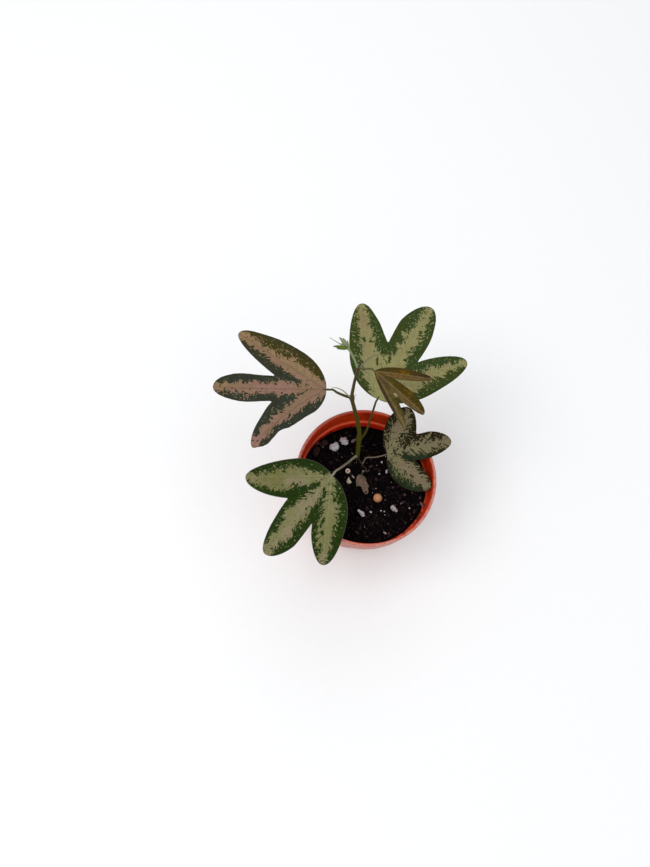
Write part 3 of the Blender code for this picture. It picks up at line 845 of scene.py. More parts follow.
def smooth_route(points_mm: Sequence[Sequence[float]], per_span: int) -> list[Vector]:
    """Draw a Catmull-Rom curve through a route's own points.

    Args:
        points_mm: The route's points, in millimetres.
        per_span: Steps from one point to the next.

    Returns:
        The curve's points, in metres.
    """
    points = [Vector(point) * MM for point in points_mm]
    padded = [points[0]] + points + [points[-1]]
    route = []
    for before, start, end, after in zip(padded, padded[1:], padded[2:], padded[3:]):
        for t in (step / per_span for step in range(per_span)):
            route.append(0.5 * (
                2 * start + (end - before) * t + (2 * before - 5 * start + 4 * end - after) * t * t
                + (3 * start - before - 3 * end + after) * t * t * t
            ))
    route.append(points[-1].copy())
    return route


@dataclass(frozen=True)
class Rod:
    """A round part that follows a route: its radii are spread evenly from its start to its end."""

    route_mm: tuple
    radii_mm: tuple
    brown: float = 0.0
    pale: float = 0.0
    brown_end: float = -1.0
    ridges: int = 0
    ridge_share: float = 0.05
    sides: int = 12
    per_span: int = 8
    swellings_mm: tuple = ()

    def radius(self, share: float, place: Vector) -> float:
        """Work out the rod's radius, with the swellings near a place.

        Args:
            share: How far along the route it is, from 0 to 1.
            place: That place, in metres.

        Returns:
            The radius in metres.
        """
        radius = float(np.interp(share, np.linspace(0.0, 1.0, len(self.radii_mm)), self.radii_mm))
        for spot, extra, reach in self.swellings_mm:
            away = (place / MM - Vector(spot)).length / reach
            radius += extra * np.exp(-away * away)
        return radius * MM

    def add(self, bm: bmesh.types.BMesh, skin: Layer) -> None:
        """Add the rod to a bmesh as a closed tube.

        Args:
            bm: The bmesh.
            skin: The layer that gets the rod's brown share, pale share and place round the rod.
        """
        route = smooth_route(self.route_mm, self.per_span)
        last = len(route) - 1
        tangents = [(route[min(i + 1, last)] - route[max(i - 1, 0)]).normalized() for i in range(last + 1)]
        side = tangents[0].orthogonal().normalized()
        frames = []
        for tangent in tangents:
            side = (side - tangent * side.dot(tangent)).normalized()
            frames.append((side.copy(), tangent.cross(side)))
        brown_end = self.brown if self.brown_end < 0.0 else self.brown_end

        def put(vert: bmesh.types.BMVert, column: int, row: int) -> None:
            """Place a point round the route, or at its end in the first and the last row.

            Args:
                vert: The point.
                column: Its step round the rod.
                row: Its step along the rod.
            """
            index = min(max(row - 1, 0), last)
            vert.co = route[index]
            if 0 < row < last + 2:
                turn = 2 * pi * column / self.sides
                ridge = 1.0 + (self.ridge_share * cos(self.ridges * turn) if self.ridges else 0.0)
                radius = self.radius(index / last, route[index]) * ridge
                across, up = frames[index]
                vert.co = route[index] + (across * cos(turn) + up * sin(turn)) * radius

        for vert in wrapped_grid(bm, self.sides, last + 2, put):
            nearest = min(range(last + 1), key=lambda i: (route[i] - vert.co).length_squared)
            across, up = frames[nearest]
            out = vert.co - route[nearest]
            brown = self.brown + (brown_end - self.brown) * (nearest / last)
            vert[skin] = (brown, self.pale, float(np.arctan2(out.dot(up), out.dot(across))))


@dataclass(frozen=True)
class Spindle:
    """A slim folded leaflet or scale, from its start to its pointed tip."""

    start_mm: tuple
    end_mm: tuple
    half_width_mm: float
    brown: float = 0.0
    pale: float = 0.0
    taper: float = 0.45
    thickness: float = 1.1
    crease: float = 0.35
    facets: int = 14

    def add(self, bm: bmesh.types.BMesh, skin: Layer) -> None:
        """Add the spindle to a bmesh.

        Args:
            bm: The bmesh.
            skin: The layer that gets the spindle's brown and pale shares.
        """
        start = Vector(self.start_mm) * MM
        reach = Vector(self.end_mm) * MM - start
        aim = Matrix.Translation(start) @ reach.to_track_quat("Z", "X").to_matrix().to_4x4()
        made = bmesh.ops.create_uvsphere(bm, u_segments=self.facets, v_segments=self.facets, radius=0.5)
        for vert in made["verts"]:
            along = vert.co.z + 0.5
            pinch = (1.0 - self.taper * along) * self.half_width_mm * MM
            crease = self.crease * abs(vert.co.x) * pinch
            flat = (vert.co.x * 2 * pinch, vert.co.y * self.thickness * pinch + crease, along * reach.length)
            vert.co = aim @ Vector(flat)
            vert[skin] = (self.brown, self.pale, along)


@dataclass(frozen=True)
class Down:
    """Fine hairs that stand on some routes."""

    routes_mm: tuple
    radii_mm: tuple
    count: int = 170
    length_mm: tuple = (0.35, 0.75)
    foot_mm: float = 0.03
    tip_mm: float = 0.006

    def add(self, bm: bmesh.types.BMesh, skin: Layer) -> None:
        """Add the hairs to a bmesh.

        Args:
            bm: The bmesh.
            skin: The layer that marks them pale.
        """
        rng = random.Random(7)
        lines = [smooth_route(route, 6) for route in self.routes_mm]
        for _ in range(self.count):
            pick = rng.randrange(len(lines))
            index = rng.randrange(len(lines[pick]) - 1)
            root, after = lines[pick][index:index + 2]
            along = (after - root).normalized()
            out = Vector([rng.gauss(0, 1) for _ in range(3)])
            out = (out - along * out.dot(along)).normalized()
            root = root + out * self.radii_mm[pick] * 0.6 * MM
            aim = (out + along * rng.uniform(0.2, 1.2)).normalized()
            length = rng.uniform(*self.length_mm) * MM
            turn = aim.to_track_quat("Z", "X").to_matrix().to_4x4()
            made = bmesh.ops.create_cone(bm, cap_ends=True, segments=3, radius1=self.foot_mm * MM,
                                         radius2=self.tip_mm * MM, depth=length,
                                         matrix=Matrix.Translation(root + aim * length / 2) @ turn)
            for vert in made["verts"]:
                vert[skin] = (0.0, 1.0, 0.0)


def grown(name: str, parts: Sequence[Union[Rod, Spindle, Down]], finish: Finish,
          node: str) -> None:
    """Make one piece of rods, spindles and down.

    Args:
        name: The piece's name.
        parts: What it is made of, in order.
        finish: Its finish, which reads the skin layer.
        node: The solid that it replaces.
    """
    bm = bmesh.new()
    skin = bm.verts.layers.float_vector.new("skin")
    for part in parts:
        part.add(bm, skin)
    finished(name, to_mesh(bm, outward=True), [finish], [node], 70.0)


@dataclass(frozen=True)
class NurseryPot:
    """The small round pot: a turned shell with a rolled lip, an inner ledge and drain holes."""

    height: float = 49.0 * MM
    rim_radius: float = 27.5 * MM
    lip_width: float = 1.3 * MM
    collar_foot_radius: float = 26.9 * MM
    wall: float = 0.9 * MM
    collar_depth: float = 8.9 * MM
    ledge_radius: float = 25.2 * MM
    foot_radius: float = 19.6 * MM
    floor: float = 1.5 * MM
    drain_holes: int = 6
    drain_radius: float = 2.2 * MM
    drain_circle: float = 12.5 * MM
    drain_turn: float = radians(11.0)
    drain_sides: int = 28
    steps: int = 168
    longest_step: float = 4.0 * MM
    corner_share: float = 0.48
    seam: float = 0.001 * MM
    blend: float = 0.3 * MM

    @property
    def ledge(self) -> float:
        """Return the height of the inner ledge."""
        return self.height - self.collar_depth

    def inner_radius(self, height: float) -> float:
        """Return the radius of the inner wall at a height below the ledge."""
        share = (height - self.floor) / (self.ledge - self.floor)
        return (self.foot_radius - self.wall) + share * (self.ledge_radius - self.foot_radius + self.wall)

    def profile(self) -> list[tuple[float, float, float]]:
        """List the corners of the turned outline.

        Returns:
            Radius, height and the size of the round at each corner, from the middle of the inner
            floor, up inside, over the lip and down outside.
        """
        height, floor, ledge, foot = self.height, self.floor, self.ledge, self.foot_radius
        rim, lip_inner = self.rim_radius, self.rim_radius - self.lip_width
        collar, below = self.collar_foot_radius, ledge - self.wall
        corners = (
            (0.0, 0.0, floor, 0.0, 0.0), (self.inner_radius(floor), 0.0, floor, 0.0, 0.8),
            (self.ledge_radius, 0.0, ledge, 0.0, 0.35), (collar - self.wall, 0.0, ledge, 0.05, 0.35),
            (lip_inner, -0.12, height, -2.2, 0.4), (lip_inner, 0.0, height, -1.2, 0.3),
            (lip_inner, 0.05, height, 0.0, 0.6), (rim, 0.0, height, 0.0, 0.6),
            (rim, -0.02, height, -1.7, 0.25), (rim, -0.32, height, -2.0, 0.3),
            (collar, 0.0, below, 0.0, 0.25), (self.ledge_radius + self.wall * 0.8, 0.0, below, -0.2, 0.3),
            (foot, 0.3, 0.0, 1.2, 0.6), (foot, -0.6, 0.0, 0.0, 0.3), (0.0, 0.0, 0.0, 0.0, 0.0),
        )
        return [(r + more_r * MM, z + more_z * MM, size * MM) for r, more_r, z, more_z, size in corners]

    def rounded(self) -> list[Vector]:
        """Turn each corner of the outline into a short curve.

        Returns:
            The outline's points.
        """
        corners = [(Vector((r, 0.0, z)), size) for r, z, size in self.profile()]
        points = [corners[0][0]]
        for (before, _), (corner, size), (after, _) in zip(corners, corners[1:], corners[2:]):
            into, away = before - corner, after - corner
            start = corner + into.normalized() * min(size, into.length * self.corner_share)
            end = corner + away.normalized() * min(size, away.length * self.corner_share)
            for t in (0.0, 0.25, 0.5, 0.75, 1.0):
                points.append(start * (1 - t) ** 2 + corner * 2 * t * (1 - t) + end * t * t)
        points.append(corners[-1][0])
        return points

    def drill(self) -> bmesh.types.BMesh:
        """Cut the round bars that drill the drain holes.

        Returns:
            Their bmesh.
        """
        bm = bmesh.new()
        for index in range(self.drain_holes):
            turn = 2 * pi * index / self.drain_holes + self.drain_turn
            centre = Vector((self.drain_circle * cos(turn), self.drain_circle * sin(turn), self.floor / 2))
            bmesh.ops.create_cone(bm, cap_ends=True, segments=self.drain_sides, radius1=self.drain_radius,
                                  radius2=self.drain_radius, depth=4 * self.floor,
                                  matrix=Matrix.Translation(centre))
        return bm

    def build(self) -> None:
        """Turn, drill and dress the pot."""
        bm = bmesh.new()
        outline = self.rounded()
        dense = []
        for first, second in zip(outline, outline[1:]):
            parts = max(1, int((second - first).length / self.longest_step))
            dense += [first.lerp(second, step / parts) for step in range(parts)]
        points = [bm.verts.new(point) for point in dense + outline[-1:]]
        edges = [bm.edges.new(pair) for pair in zip(points, points[1:])]
        bmesh.ops.spin(bm, geom=points + edges, axis=(0, 0, 1), cent=(0, 0, 0), angle=2 * pi,
                       steps=self.steps, use_merge=True)
        bmesh.ops.remove_doubles(bm, verts=bm.verts, dist=self.seam)
        shell = placed("pot_shell_blank", to_mesh(bm, outward=True))
        drill = placed("pot_drill", to_mesh(self.drill()))
        cut = shell.modifiers.new("drain", "BOOLEAN")
        cut.operation = "DIFFERENCE"
        cut.object = drill
        bpy.context.view_layer.update()
        mesh = bpy.data.meshes.new_from_object(shell.evaluated_get(bpy.context.evaluated_depsgraph_get()))
        for used in (shell, drill):
            bpy.data.objects.remove(used, do_unlink=True)
        x, y, height = read_attribute(mesh, "position")
        below = self.inner_radius(height) + self.wall / 2
        above = self.rim_radius - self.lip_width / 2 - self.blend
        inward = np.where(height < self.ledge, below, above) - np.hypot(x, y)
        write_attribute(mesh, "inner", np.clip(inward / self.blend + 0.5, 0.0, 1.0))
        finished("pot_shell", mesh, [PlasticFinish()], ["pot"], smooth_degrees=50.0)


@dataclass(frozen=True)
class SoilBed:
    """The soil: a shallow bowl of crumbs that fills the pot, heaped a little round the stem."""

    level_mm: float = 38.0
    side_rise_mm: float = 3.3
    back_fall: float = 0.05
    swell_mm: float = 0.45
    swell_size_mm: float = 4.5
    dip_mm: float = 0.5
    dip_radius_mm: float = 7.0
    dip_front_mm: float = 2.5
    heap_mm: float = 0.5
    heap_reach_mm: float = 2.2
    stem_foot_mm: tuple = (-2.2, 10.6)
    bowl_radius_mm: float = 25.2
    edge_radius_mm: float = 24.9
    floor_mm: float = 1.8
    edge_drop_mm: float = 0.6
    brim_drop_mm: float = 1.2
    wall_gap_mm: float = 0.3
    steps: int = 200
    top_rings: int = 84
    side_rings: int = 4

    def from_stem(self, x: float, y: float) -> float:
        """Return the distance from the stem's foot, in millimetres."""
        return hypot(x - self.stem_foot_mm[0], y - self.stem_foot_mm[1])

    def base_height(self, x: float, y: float) -> float:
        """Work out the height of the smooth bed, as the solid has it.

        Args:
            x, y: A place, in millimetres.

        Returns:
            The height in millimetres.
        """
        side = x / self.bowl_radius_mm
        level = self.level_mm + self.side_rise_mm * side * side - self.back_fall * y
        away = self.from_stem(x, y + self.dip_front_mm) / self.dip_radius_mm
        calm = min(1.0, away)
        swell = noise.noise(Vector((x, y, 0.0)) / self.swell_size_mm) * self.swell_mm
        return level + swell * calm * calm - self.dip_mm * max(0.0, 1.0 - away * away)

    def height(self, x: float, y: float) -> float:
        """Work out the height of the crumbly surface.

        Args:
            x, y: A place, in millimetres.

        Returns:
            The height in millimetres.
        """
        place = Vector((x, y, 3.7))
        lumps = noise.noise(place / 1.7) * 0.42 + noise.noise(place / 0.75) * 0.24
        grit = noise.noise(place / 0.33) * 0.10
        beyond = max(0.0, self.from_stem(x, y) - 1.0)
        heap = self.heap_mm * max(0.0, 1.0 - beyond / self.heap_reach_mm)
        return self.base_height(x, y) + lumps + grit + heap

    def build(self) -> None:
        """Build and dress the closed bed: its crumbly top, its side inside the pot and its bottom."""
        bm = bmesh.new()
        low_radius = NurseryPot().inner_radius(self.floor_mm * MM) / MM - self.wall_gap_mm

        def put(vert: bmesh.types.BMVert, column: int, row: int) -> None:
            """Place a point on the top, down the side, or in the middle of the bottom.

            Args:
                vert: The point.
                column: Its step round the bed.
                row: Its step out over the top, down the side and in.
            """
            turn = 2 * pi * column / self.steps
            down = (row - self.top_rings) / self.side_rings
            if down <= 0.0:
                radius = self.edge_radius_mm * row / self.top_rings
                x, y = radius * cos(turn), radius * sin(turn)
                height = self.height(x, y) - (self.edge_drop_mm if down == 0.0 else 0.0)
            elif down <= 1.0:
                radius = self.edge_radius_mm + (low_radius - self.edge_radius_mm) * down
                x, y = radius * cos(turn), radius * sin(turn)
                edge = self.edge_radius_mm
                brim = self.base_height(edge * cos(turn), edge * sin(turn)) - self.brim_drop_mm
                height = brim + (self.floor_mm - brim) * down
            else:
                x, y, height = 0.0, 0.0, self.floor_mm
            vert.co = Vector((x, y, height)) * MM

        wrapped_grid(bm, self.steps, self.top_rings + self.side_rings + 1, put)
        finished("soil_bed", to_mesh(bm, outward=True), [SoilFinish()], ["soil"])


@dataclass
class Litter:
    """The loose crumbs, clods, white bits, flat chips and fibres that lie on a bed of soil.

    A tone is 0 for near black, 0.5 for brown and 1 for white. white_bits holds x, y, half size and
    tone; chips holds x, y, half length, half width, heading in degrees and tone.
    """

    bed: SoilBed
    crumb_count: int = 1150
    clod_count: int = 150
    speck_count: int = 42
    fibre_count: int = 55
    fibre_steps: int = 6
    crumb_reach_mm: float = 24.2
    clod_reach_mm: float = 23.4
    speck_reach_mm: float = 23.8
    fibre_reach_mm: float = 20.5
    clearing_mm: float = 2.0
    crumb_mm: tuple = (0.16, 0.5)
    clod_mm: tuple = (0.5, 1.0)
    speck_mm: tuple = (0.12, 0.26)
    fibre_mm: tuple = (1.6, 4.8)
    fibre_radius_mm: tuple = (0.035, 0.08)
    chip_mm: float = 0.3
    chip_tilt: float = 0.4
    red_share: float = 0.13
    brown_share: float = 0.02
    front_share: float = 0.35
    brown_tones: tuple = (0.2, 0.45)
    speck_tones: tuple = (0.62, 0.95)
    fibre_tones: tuple = (0.2, 0.3, 0.45, 0.6)
    white_bits: tuple = (
        (7.9, 8.9, 0.5, 0.95), (9.9, 4.9, 0.75, 0.9), (6.8, 4.0, 0.5, 0.85), (2.8, -12.0, 0.5, 0.9),
        (6.8, -11.5, 0.36, 0.95), (8.1, -11.8, 0.3, 0.9), (23.0, -9.6, 0.45, 0.75), (8.1, -20.4, 0.6, 0.7),
        (0.3, 5.2, 0.5, 0.65), (5.2, -2.2, 0.3, 0.8), (14.8, -8.6, 0.4, 0.7), (18.0, -10.5, 0.4, 0.85),
        (15.6, -3.0, 0.45, 0.45), (16.5, -5.0, 0.6, 0.42),
    )
    chips: tuple = (
        (-3.4, 18.2, 1.5, 0.5, 35.0, 0.6), (-18.2, 16.0, 0.9, 0.6, 20.0, 0.42),
        (-16.3, 14.8, 0.8, 0.45, 100.0, 0.55), (-14.8, 16.8, 1.0, 0.6, 60.0, 0.36),
        (22.6, -8.9, 0.5, 0.9, 10.0, 0.55), (11.8, -4.3, 0.5, 0.8, 30.0, 0.42),
        (12.0, -2.0, 0.6, 0.4, 0.0, 0.4), (15.5, -8.1, 0.8, 0.5, 50.0, 0.32),
        (22.4, -6.4, 0.7, 0.5, 80.0, 0.36), (12.6, -9.2, 0.5, 0.4, 15.0, 0.34),
        (19.8, -12.2, 0.6, 0.4, 70.0, 0.3), (-2.9, -20.4, 1.2, 0.3, 140.0, 0.34),
        (-1.6, -18.6, 1.0, 0.28, 70.0, 0.3), (9.6, -20.6, 0.8, 0.3, 50.0, 0.5),
        (3.4, 7.2, 1.0, 0.3, 35.0, 0.38), (2.2, 5.1, 1.0, 0.32, 35.0, 0.5),
        (-3.9, 2.5, 0.85, 0.3, -42.0, 0.85),
    )

    def __post_init__(self) -> None:
        """Start the litter's random draws, its bmesh and its layers."""
        self.rng = random.Random(41)
        self.bm = bmesh.new()
        layers = self.bm.verts.layers
        layers.float.new("tone")
        self.skin = layers.float_vector.new("skin")
        self.tone = layers.float["tone"]

    def scattered(self, reach_mm: float) -> tuple[float, float]:
        """Draw a spot on the bed, clear of the stem.

        Args:
            reach_mm: How far from the middle it may be.

        Returns:
            Its x and y, in millimetres.
        """
        while True:
            turn = self.rng.uniform(0.0, 2 * pi)
            radius = reach_mm * self.rng.random() ** 0.5
            x, y = radius * cos(turn), radius * sin(turn)
            if self.bed.from_stem(x, y) > self.clearing_mm:
                return x, y

    def ball(self, matrix: Matrix, radius: float, rounds: int, size_mm: float, shake: float,
             tone: float) -> None:
        """Add a shaken ball.

        Args:
            matrix: Its place, turn and stretch.
            radius: Its radius before that, in metres.
            rounds: Its subdivisions.
            size_mm: The size that its points are shaken by.
            shake: The share of that size.
            tone: Its tone.
        """
        made = bmesh.ops.create_icosphere(self.bm, subdivisions=rounds, radius=radius, matrix=matrix)
        for vert in made["verts"]:
            vert.co += Vector([self.rng.uniform(-1, 1) for _ in range(3)]) * size_mm * shake * MM
            vert[self.tone] = tone

    def bit(self, place: tuple[float, float], size_mm: float, tone: float, rounds: int = 1) -> None:
        """Add one crumb.

        Args:
            place: Where it lies, in millimetres.
            size_mm: Its half size.
            tone: Its tone.
            rounds: Subdivisions of its ball.
        """
        rng = self.rng
        turn = Matrix.Rotation(rng.uniform(0, 2 * pi), 4, Vector((rng.gauss(0, 1), rng.gauss(0, 1), 1.0)))
        stretch = Matrix.Diagonal((rng.uniform(0.7, 1.4), rng.uniform(0.7, 1.1), rng.uniform(0.55, 0.9), 1.0))
        seat = Matrix.Translation(Vector((*place, self.bed.height(*place) + size_mm * 0.25)) * MM)
        self.ball(seat @ turn @ stretch, size_mm * MM, rounds, size_mm, 0.16, tone)

    def chip(self, x: float, y: float, length_mm: float, width_mm: float, heading: float,
             tone: float) -> None:
        """Add one flat chip of bark or husk, tilted a little on the soil.

        Args:
            x, y: Where it lies, in millimetres.
            length_mm, width_mm: Its half length and half width.
            heading: Its direction in degrees.
            tone: Its tone.
        """
        seat = Matrix.Translation(Vector((x, y, self.bed.height(x, y) + self.chip_mm)) * MM)
        tilt = Matrix.Rotation(self.rng.uniform(-self.chip_tilt, self.chip_tilt), 4, "Y")
        turn = Matrix.Rotation(radians(heading), 4, "Z") @ tilt
        stretch = Matrix.Diagonal((length_mm * MM, width_mm * MM, self.chip_mm * MM, 1.0))
        self.ball(seat @ turn @ stretch, 1.0, 2, width_mm, 0.2, tone)

    def fibre(self) -> None:
        """Add one thin curved fibre that lies on the soil."""
        rng = self.rng
        x, y = self.scattered(self.fibre_reach_mm)
        if rng.random() < self.front_share:
            x, y = rng.uniform(-8.0, 4.0), rng.uniform(-18.0, -9.0)
        heading, bend = rng.uniform(0, 2 * pi), rng.uniform(-0.5, 0.5)
        length, radius = rng.uniform(*self.fibre_mm), rng.uniform(*self.fibre_radius_mm)
        tone = rng.choice(self.fibre_tones)
        route = []
        for _ in range(self.fibre_steps + 1):
            route.append((x, y, self.bed.height(x, y) + 0.12))
            heading += bend / self.fibre_steps * 3
            x += cos(heading) * length / self.fibre_steps
            y += sin(heading) * length / self.fibre_steps
        before = len(self.bm.verts)
        Rod(tuple(route), (0.5 * radius, radius, 0.4 * radius), sides=4, per_span=1).add(self.bm, self.skin)
        self.bm.verts.ensure_lookup_table()
        for vert in self.bm.verts[before:]:
            vert[self.tone] = tone

    def build(self) -> None:
        """Scatter and dress the litter."""
        rng = self.rng
        for _ in range(self.crumb_count):
            x, y = self.scattered(self.crumb_reach_mm)
            reddish = x > 4.0 and y < -4.0 and rng.random() < self.red_share
            if reddish or rng.random() < self.brown_share:
                tone = rng.uniform(*self.brown_tones)
            else:
                tone = max(0.0, rng.gauss(0.02, 0.05))
            self.bit((x, y), rng.uniform(*self.crumb_mm), tone)
        for _ in range(self.clod_count):
            tone = max(0.0, rng.gauss(0.03, 0.07))
            self.bit(self.scattered(self.clod_reach_mm), rng.uniform(*self.clod_mm), tone, rounds=2)
        for _ in range(self.speck_count):
            tone = rng.uniform(*self.speck_tones)
            self.bit(self.scattered(self.speck_reach_mm), rng.uniform(*self.speck_mm), tone)
        for x, y, size_mm, tone in self.white_bits:
            self.bit((x, y), size_mm, tone, rounds=2)
        for chip in self.chips:
            self.chip(*chip)
        for _ in range(self.fibre_count):
            self.fibre()
        finished("soil_litter", to_mesh(self.bm, outward=True), [LitterFinish()], smooth_degrees=35.0)


BASE_FULLNESS = 0.7
TIP_FULLNESS = 1.5
WAIST_FROM = 0.56
WAIST_SPAN = 0.39
OUTLINE_STEPS = 61
MARGIN_STEPS = 1441
LAST_RING = 0.993
SINUS_BLEND = 24.0
BAND_STATIONS = (0.1, 0.25, 0.4, 0.55, 0.7, 0.85, 1.0)
BAND_PAST_TIP = 1.02
DROOP_SPAN_MM = 40.0
WAVE_LENGTH_MM = 11.0
WAVE_SLANT = 0.7
WAVE_FULL_FROM_MIDRIB_MM = 6.0
FOLD_ROUND_MM = 0.2
GROOVE_MM = 0.10
GROOVE_WIDTH_MM = 0.4
VEIN_SLANT = 0.75
VEIN_CURVE = 0.02
RIB_MM = 0.5
SIDE_RIB_MM = 0.06
SIDE_RIB_WIDTH_MM = 0.22
EDGE_SHARE = 0.45
EDGE_REACH_MM = 1.2
HEIGHT_STEP_MM = 0.02
BAND_STEP_MM = 0.15
SEED_SHIFT_MM = (61.0, 23.0)


def from_midrib(along: np.ndarray, across: np.ndarray) -> np.ndarray:
    """Return the distance from a midrib that starts at the stalk."""
    return np.where(along < 0.0, np.hypot(along, across), np.abs(across))


def along_veins(along: np.ndarray, away: np.ndarray) -> np.ndarray:
    """Return where the side vein through a place leaves the midrib."""
    return along - VEIN_SLANT * away - VEIN_CURVE * away * away


@dataclass(frozen=True)
class Lobe:
    """One lobe: its direction in degrees from the leaf's heading, sizes in millimetres, and the pale
    band's half widths at seven stations on its left and right side."""

    angle: float
    length: float
    left: float
    right: float
    bend: float
    left_belly: float
    right_belly: float
    band_left: tuple = (1.0,) * 7
    band_right: tuple = (1.0,) * 7
    left_wave_mm: float = 0.0

    def half_width(self, share: np.ndarray, width: float, belly: float) -> np.ndarray:
        """Work out one side's half width, widest at the belly and round at the tip.

        Args:
            share: Shares of the length.
            width: The half width at the belly.
            belly: The belly's share of the length.

        Returns:
            The half widths in millimetres.
        """
        rising = width * np.sin(pi / 2 * np.clip(share / belly, 0.0, 1.0) ** BASE_FULLNESS)
        past = np.clip((share - belly) / (1.0 - belly), 0.0, 1.0)
        return np.where(share < belly, rising, width * np.sqrt(1.0 - past ** TIP_FULLNESS))

    def outline(self) -> np.ndarray:
        """Draw the lobe's closed outline.

        Returns:
            Its points on the blade, in millimetres.
        """
        turn = radians(self.angle)
        along, across = np.array([cos(turn), sin(turn)]), np.array([-sin(turn), cos(turn)])
        share = (1.0 - np.cos(np.linspace(0.0, pi, OUTLINE_STEPS))) / 2
        middle = self.bend * share * share
        right = middle - self.half_width(share, self.right, self.right_belly)
        left = middle + self.half_width(share, self.left, self.left_belly)
        left -= self.left_wave_mm * np.sin(2 * pi * np.clip((share - WAIST_FROM) / WAIST_SPAN, 0.0, 1.0))
        shares = np.concatenate([share, share[-2:0:-1]])
        sideways = np.concatenate([right, left[-2:0:-1]])
        return shares[:, None] * self.length * along + sideways[:, None] * across

    def local(self, x: np.ndarray, y: np.ndarray) -> tuple[np.ndarray, np.ndarray]:
        """Measure places by the lobe's midrib.

        Args:
            x, y: Places on the blade, in millimetres.

        Returns:
            How far along the lobe and how far to the left of its midrib they lie.
        """
        turn = radians(self.angle)
        along = x * cos(turn) + y * sin(turn)
        share = np.clip(along / self.length, 0.0, 1.0)
        return along, y * cos(turn) - x * sin(turn) - self.bend * share * share

    def band_depth(self, x: np.ndarray, y: np.ndarray) -> np.ndarray:
        """Measure how far inside the lobe's band places lie.

        Args:
            x, y: Places on the blade, in millimetres.

        Returns:
            Millimetres, below 0 outside the band.
        """
        along, across = self.local(x, y)
        left, right = (np.interp(along / self.length, BAND_STATIONS, widths)
                       for widths in (self.band_left, self.band_right))
        behind = np.maximum(0.0, -along)
        beyond = np.maximum(0.0, along - BAND_PAST_TIP * self.length)
        return np.where(across > 0.0, left, right) - np.sqrt(across * across + behind * behind) - beyond


@dataclass(frozen=True)
class Patch:
    """A soft patch on a blade, round a short line from one place to another, in millimetres."""

    kind: PatchKind
    start_mm: tuple
    end_mm: tuple
    radius_mm: float
    amount: float

    def weight(self, x: np.ndarray, y: np.ndarray) -> np.ndarray:
        """Work out the patch's amount, which fades out at its radius.

        Args:
            x, y: Places on the blade, in millimetres.

        Returns:
            The amount at each place.
        """
        start, end = np.array(self.start_mm), np.array(self.end_mm)
        reach = end - start
        length = max(float(reach @ reach), 1e-9)
        share = np.clip(((x - start[0]) * reach[0] + (y - start[1]) * reach[1]) / length, 0.0, 1.0)
        away = np.hypot(x - start[0] - reach[0] * share, y - start[1] - reach[1] * share) / self.radius_mm
        sharpness = 4.0 if self.kind is PatchKind.BAND else 2.0
        return self.amount * np.exp(-away ** sharpness)


def spots(kind: PatchKind, *rows: tuple) -> list[Patch]:
    """Return patches of one kind, from rows that hold start, end, radius and amount."""
    return [Patch(kind, row[:2], row[2:4], *row[4:]) for row in rows]


